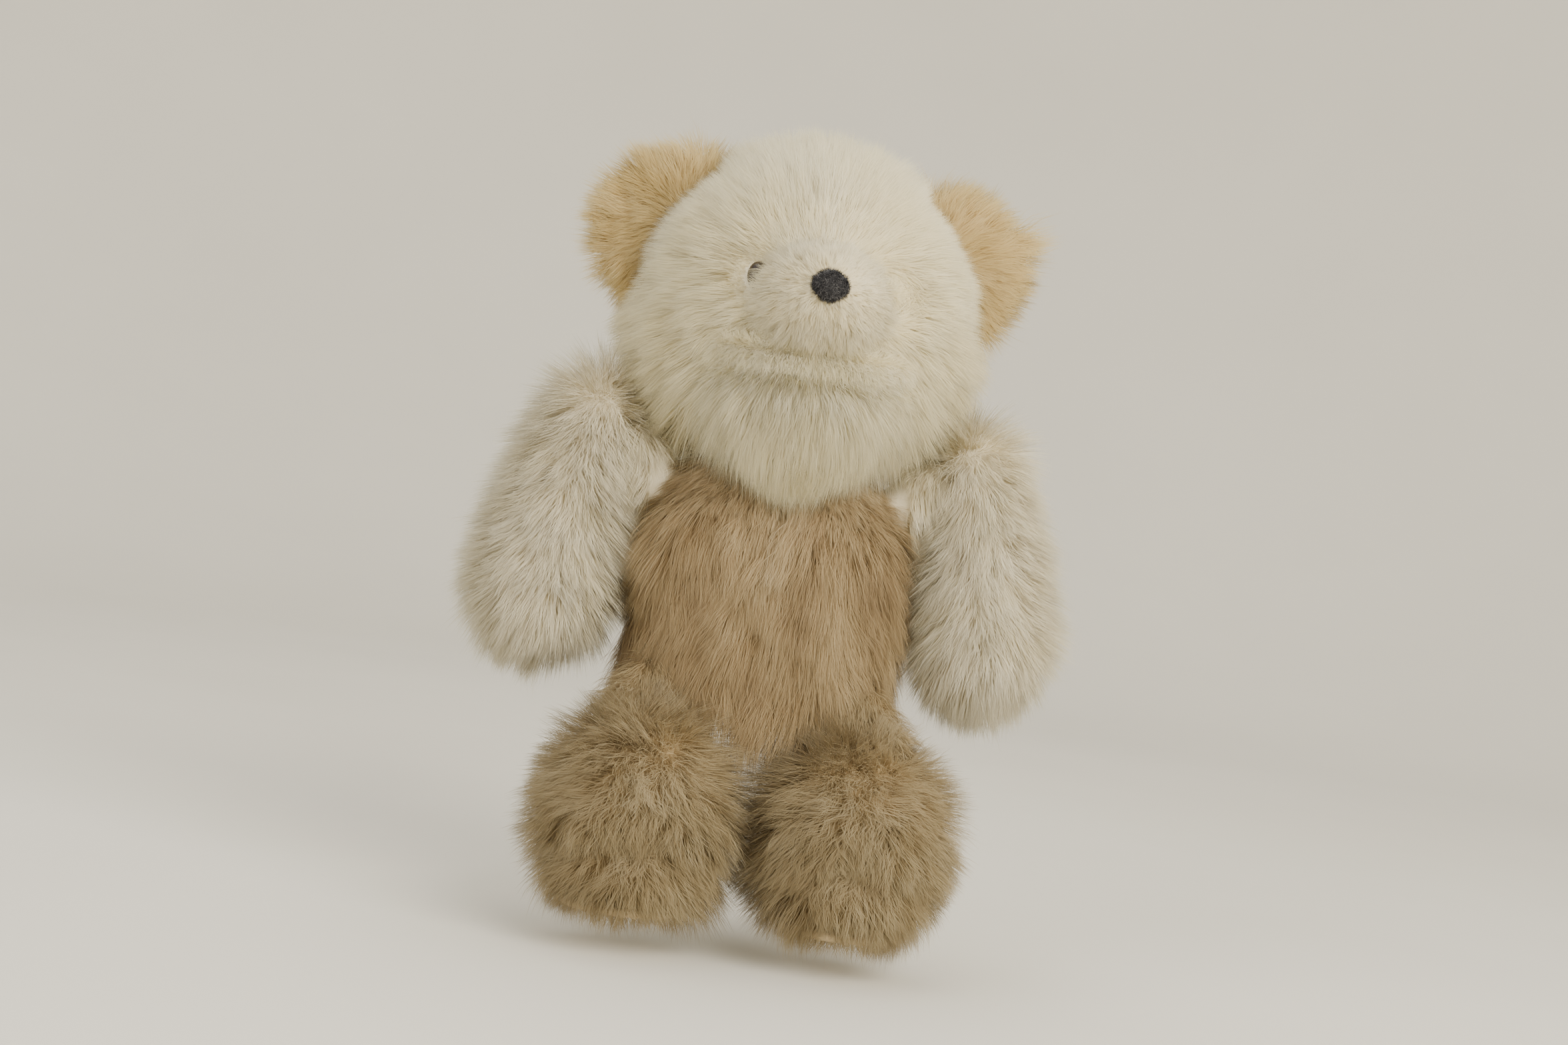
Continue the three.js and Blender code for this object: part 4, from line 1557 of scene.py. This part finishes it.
legPiece = {
    "inset": 3.2,
    "flatness": 0.84,
    "foot": 5.0,
    "crease": 3.2,
    "creaseHeight": 0.36,
    "bottomLift": 0.8,
    "fur": 16.5,
    "innerLonger": 5.0,
    "fringe": 15.0,         # length of the fur round the sole
    "style": {
        "density": 3.2, "width": 0.22, "segments": 4, "curl": 0.42, "turns": 0.8, "lockMembers": 60,
        "lockSwing": 0.2, "tuftMembers": 14, "tuftPull": 0.3, "lockPull": 0.2, "droop": 0.15,
        "tipLift": 0.88, "uneven": 0.1, "rounding": 0.1, "toneLock": 0.04, "toneTuft": 0.03,
        "toneStrand": 0.06,
    },
}


def makeLeg(side):
    low, high = boxOf(side + "_leg_pelt")
    middle = (low + high) / 2
    wide = (high[0] - low[0]) / 2 - legPiece["inset"] - swellPiece["startSmaller"]
    top = high[2] - 2
    bottom = low[2] + legPiece["bottomLift"]

    def shape(d):
        # a plump drop with a foot pushed forward under a shallow crease, flat underneath
        height = (d[:, 2] + 1) / 2
        z = bottom + (top - bottom) * height
        waist = 1 - 0.1 * ease(0.55, 1.0, height)
        ring = np.sqrt(np.maximum(1 - np.abs(d[:, 2]) ** 2.6, 0))
        ring = np.where(d[:, 2] < 0, ring ** 0.7, ring)
        plan = unit(d[:, :2] + 1e-9)
        px = wide * waist * ring * plan[:, 0]
        py = wide * legPiece["flatness"] * waist * ring * plan[:, 1]
        forward = np.clip(-plan[:, 1], 0, 1)
        py = py - legPiece["foot"] * ease(legPiece["creaseHeight"], 0.12, height) * forward * ring
        arc = height - legPiece["creaseHeight"] + 0.16 * (px / wide) ** 2
        py = py + legPiece["crease"] * np.exp(-(arc / 0.045) ** 2) * forward ** 0.5
        return np.stack([middle[0] + px, middle[1] + py, z], 1)

    return ballMesh(side + "_leg_skin", shape, "leg_hide")


def combLeg(side):
    low, high = boxOf(side + "_leg_pelt")
    centre = (low + high) / 2
    half = (high[0] - low[0]) / 2

    def comb(roots, normals):
        offset = roots - centre
        share = (roots[:, 2] - low[2]) / (high[2] - low[2])
        radial = unit(offset * np.array([1, 1, 0.25]))
        flow = upward * -0.8 + radial * 0.4
        flow = flow + np.stack([ripple(roots, 15, 61), ripple(roots, 15, 62), 0 * share], 1) * 0.45
        inner = ease(8, 24, -offset[:, 0] * sides[side])
        length = legPiece["fur"] + 1.6 * ripple(roots, 16, 63) + legPiece["innerLonger"] * inner
        forward = ease(0, -0.5, normals[:, 1])
        arc = share - legPiece["creaseHeight"] - 0.02 + 0.16 * (offset[:, 0] / half) ** 2
        crease = np.exp(-(arc / 0.06) ** 2) * forward
        length = length * (1 - 0.3 * crease)
        fringe = ease(0.16, 0.03, share)
        length = length * (1 - fringe) + legPiece["fringe"] * fringe
        lift = np.radians(64 + 6 * ripple(roots, 14, 64) - 22 * fringe)
        lift = lift + math.radians(16) * ease(0.9, 1.0, share)
        # painted shade darkens the crease; painted light makes the outer flank lighter and leaves the inner
        # side darker; a little lighter towards the top
        tone = 0.55 + 0.1 * ripple(roots, 20, 65) - 0.1 * crease + 0.08 * (share - 0.5)
        tone = tone + 0.12 * ease(14, 30, offset[:, 0] * sides[side])
        keep = (roots[:, 2] > low[2] + 1.0) & (normals[:, 2] > -0.96)
        return {"keep": keep, "flow": flow, "length": length, "lift": lift, "tone": tone}

    return comb


# A shoulder and a hip are short bridges of pelt: lines, half width and half depth at both ends,
# and where the bending starts and ends.
bridgePieces = {
    "shoulder": {
        "limb": "arm",
        "line": ((39.0, 0.0, 72.0), (62.0, 0.0, 93.0)),
        "radii": ((10.5, 10.5), (12.0, 12.0)),
        "start": (0.049, 0.0, 0.081),
        "end": (0.062, 0.0, 0.094),
        "fill": 0.5,
        "hide": "cream_hide",
        "coat": "arm_fur",
        "slot": "cream_fur",
        "fur": 14.0,
        "lift": 50.0,
        "flow": (0.25, 0.0, -1.0),
        "outward": 0.2,
        "tone": (0.56, 0.07),
        "seed": 55,
        "style": {"density": 3.6, "width": 0.22, "segments": 3, "droop": 0.3},
    },
    "hip": {
        "limb": "leg",
        "line": ((31.0, -17.0, 9.0), (40.0, -33.0, -12.0)),
        "radii": ((13.0, 2.0), (18.0, 7.0)),
        "start": (0.040, -0.034, 0.002),
        "end": (0.040, -0.034, -0.006),
        "fill": 0.3,
        "hide": "leg_hide",
        "coat": "leg_fur",
        "slot": "leg_fur",
        "fur": 13.0,
        "lift": 46.0,
        "flow": (0.2, -0.15, -1.0),
        "outward": 0.0,
        "tone": (0.55, 0.08),
        "seed": 57,
        "style": {"density": 3.4, "width": 0.22, "segments": 3, "droop": 0.35},
    },
}


def makeBridge(side, kind, seed):
    bridge = bridgePieces[kind]
    mirror = np.array([sides[side], 1.0, 1.0])
    line = np.linspace(*bridge["line"], 18) * mirror
    skin = sweep(
        side + "_" + kind + "_skin", line, np.linspace(*bridge["radii"], 18), bridge["hide"], around=40)

    def comb(roots, normals):
        if kind == "shoulder":
            keep = (np.abs(normals[:, 0]) < 0.9) & (np.abs(roots[:, 0]) > 49)
        else:
            keep = normals[:, 2] > -0.6
        middle, change = bridge["tone"]
        return {
            "keep": keep, "flow": np.array(bridge["flow"]) * mirror + normals * bridge["outward"],
            "length": bridge["fur"] + ripple(roots, 12, bridge["seed"]),
            "lift": math.radians(bridge["lift"]),
            "tone": middle + change * ripple(roots, 18, bridge["seed"] + 1),
        }

    grown = growFur(skin, seed, comb, bridge["style"])
    for piece in (skin, furPiece(side + "_" + kind + "_fur", grown, bridge["coat"])):
        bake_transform(piece)


solePiece = {
    "width": 0.93,          # share of the sole's own width, so that the fringe covers its edge
    "gap": 0.05,
    "hollow": 0.25,
    # height against half width
    "profile": [(0.0, 0.955), (0.15, 0.99), (0.45, 1.0), (0.8, 0.985), (1.0, 0.93)],
    "stitch": {"length": 2.8, "gap": 1.9, "radius": 0.32, "arch": 0.4},
    "stitchShare": 0.86,
    "flat": (0.054, 0.044),
    "area": 0.0018,
}


def makeSole(side):
    low, high = boxOf(side + "_foot_sole")
    middle = (low + high) / 2
    half = (high - low) / 2 * [solePiece["width"], solePiece["width"], 1]
    top = high[2] - solePiece["gap"]
    tall = 2 * (half[2] - 2 * solePiece["gap"])

    def ring(share, z, around=72, closed=False):
        return oval(half[0] * share, half[1] * share, z, around, closed) + middle * [1, 1, 0]

    rings = [ring(share, top) for share in (0.02, 0.4, 0.8)]
    for height, width in solePiece["profile"]:
        rings.append(ring(width, top - height * tall))
    for share in (0.89, 0.86, 0.83, 0.5, 0.02):
        rings.append(ring(share, low[2] + solePiece["gap"] + solePiece["hollow"] * (1 - share)))
    sole = loft(side + "_sole_pad", rings, "suede")
    path = ring(solePiece["stitchShare"], low[2] + 0.15, 300, closed=True)
    thread = stitches(side + "_sole_stitches", [(path, -upward * np.ones((300, 1)))], solePiece["stitch"])
    return sole, thread


for number, side in enumerate(sides):
    arm = makeArm(side)
    swell(arm)
    addPart(arm, side + "_arm")
    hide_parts(side + "_arm_pelt", side + "_arm_stuffing")
    grown = growFur(arm, 71 + number, combArm(side), armPiece["style"])
    addPart(furPiece(side + "_arm_fur", grown, "arm_fur"), side + "_arm")
    makeBridge(side, "shoulder", 75 + number)
    leg = makeLeg(side)
    swell(leg)
    addPart(leg, side + "_leg")
    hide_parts(side + "_leg_pelt", side + "_leg_stuffing")
    grown = growFur(leg, 81 + number, combLeg(side), legPiece["style"])
    front = grown["roots"][:, 1] < middleOf(side + "_leg_pelt")[1]
    addPart(furPiece(side + "_leg_front_fur", grown, "leg_fur", front), side + "_leg")
    addPart(furPiece(side + "_leg_back_fur", grown, "leg_fur", ~front), side + "_leg")
    makeBridge(side, "hip", 85 + number)
    sole, thread = makeSole(side)
    addPart(sole, side + "_leg")
    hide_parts(side + "_foot_sole")
    addPart(thread, side + "_leg")
print("arms and legs made")

# The boards and washers keep their CAD shapes.
keptNodes = {
    "upper_mouth_board": "board",
    "lower_mouth_board": "board",
    "left_eye_washer": "washer",
    "right_eye_washer": "washer",
}
for node, finish in keptNodes.items():
    mesh = frame["nodes"][node].data
    mesh.materials.clear()
    mesh.materials.append(finishes[finish])

studio = {
    "floorDrop": 0.002,
    "floorRadius": 1.3,
    "curve": 0.9,
    "wallHeight": 2.6,
    "focal": 50.0,
    "distance": 0.824,
    "azimuth": -6.0,
    "roll": 8.0,
    "aim": (0.0034, 0.0, 0.070),
    "air": (0.92, 0.93, 0.96, 1.0),
    "airStrength": 1.1,
    # place, target, size, power and colour of each lamp
    "lamps": {
        "key": ((0.8, -1.4, 0.7), (0, 0, 0.08), 1.5, 65.0, (1.0, 0.96, 0.88)),
        "fill": ((-1.3, -1.1, 0.6), (0, 0, 0.08), 1.4, 19.0, (0.96, 0.97, 1.0)),
        "top": ((0.0, 0.5, 1.8), (0, 0, 0.1), 1.6, 16.0, (1.0, 0.97, 0.92)),
    },
}


def makeFloor():
    # a plain floor that curves up into a plain wall all round
    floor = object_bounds()[0].z - studio["floorDrop"]
    profile = [(r, 0.0) for r in np.linspace(0.0, studio["floorRadius"], 12)]
    for angle in np.linspace(0, math.pi / 2, 14)[1:]:
        far = studio["floorRadius"] + studio["curve"] * math.sin(angle)
        profile.append((far, studio["curve"] * (1 - math.cos(angle))))
    profile.append((studio["floorRadius"] + studio["curve"], studio["wallHeight"]))
    rings = [oval(r, r, floor + z, 96) / metre for r, z in profile]
    loft("studio_floor", rings, "floor", capped=False)


def addLamp(name, place, target, size, power, colour):
    lamp = bpy.data.lights.new(name, "AREA")
    lamp.shape = "DISK"
    lamp.size = size
    lamp.energy = power
    lamp.color = colour
    thing = bpy.data.objects.new(name, lamp)
    thing.location = place
    thing.rotation_euler = (Vector(target) - Vector(place)).to_track_quat("-Z", "Y").to_euler()
    bpy.context.scene.collection.objects.link(thing)


def addCamera():
    lens = bpy.data.cameras.new("camera")
    lens.lens = studio["focal"]
    lens.sensor_width = 36.0
    camera = bpy.data.objects.new("camera", lens)
    turn = math.radians(studio["azimuth"])
    back = Vector((math.sin(turn), -math.cos(turn), 0))
    camera.location = Vector(studio["aim"]) + back * studio["distance"]
    facing = (-back).to_track_quat("-Z", "Y").to_matrix().to_4x4()
    roll = Matrix.Rotation(math.radians(studio["roll"]), 4, "Z")
    camera.rotation_euler = (facing @ roll).to_euler()
    bpy.context.scene.collection.objects.link(camera)
    bpy.context.scene.camera = camera


makeFloor()
for name, lamp in studio["lamps"].items():
    addLamp(name, *lamp)
world = bpy.data.worlds.new("studioAir")
world.use_nodes = True
world.node_tree.nodes["Background"].inputs["Color"].default_value = studio["air"]
world.node_tree.nodes["Background"].inputs["Strength"].default_value = studio["airStrength"]
bpy.context.scene.world = world
addCamera()
print("studio made")
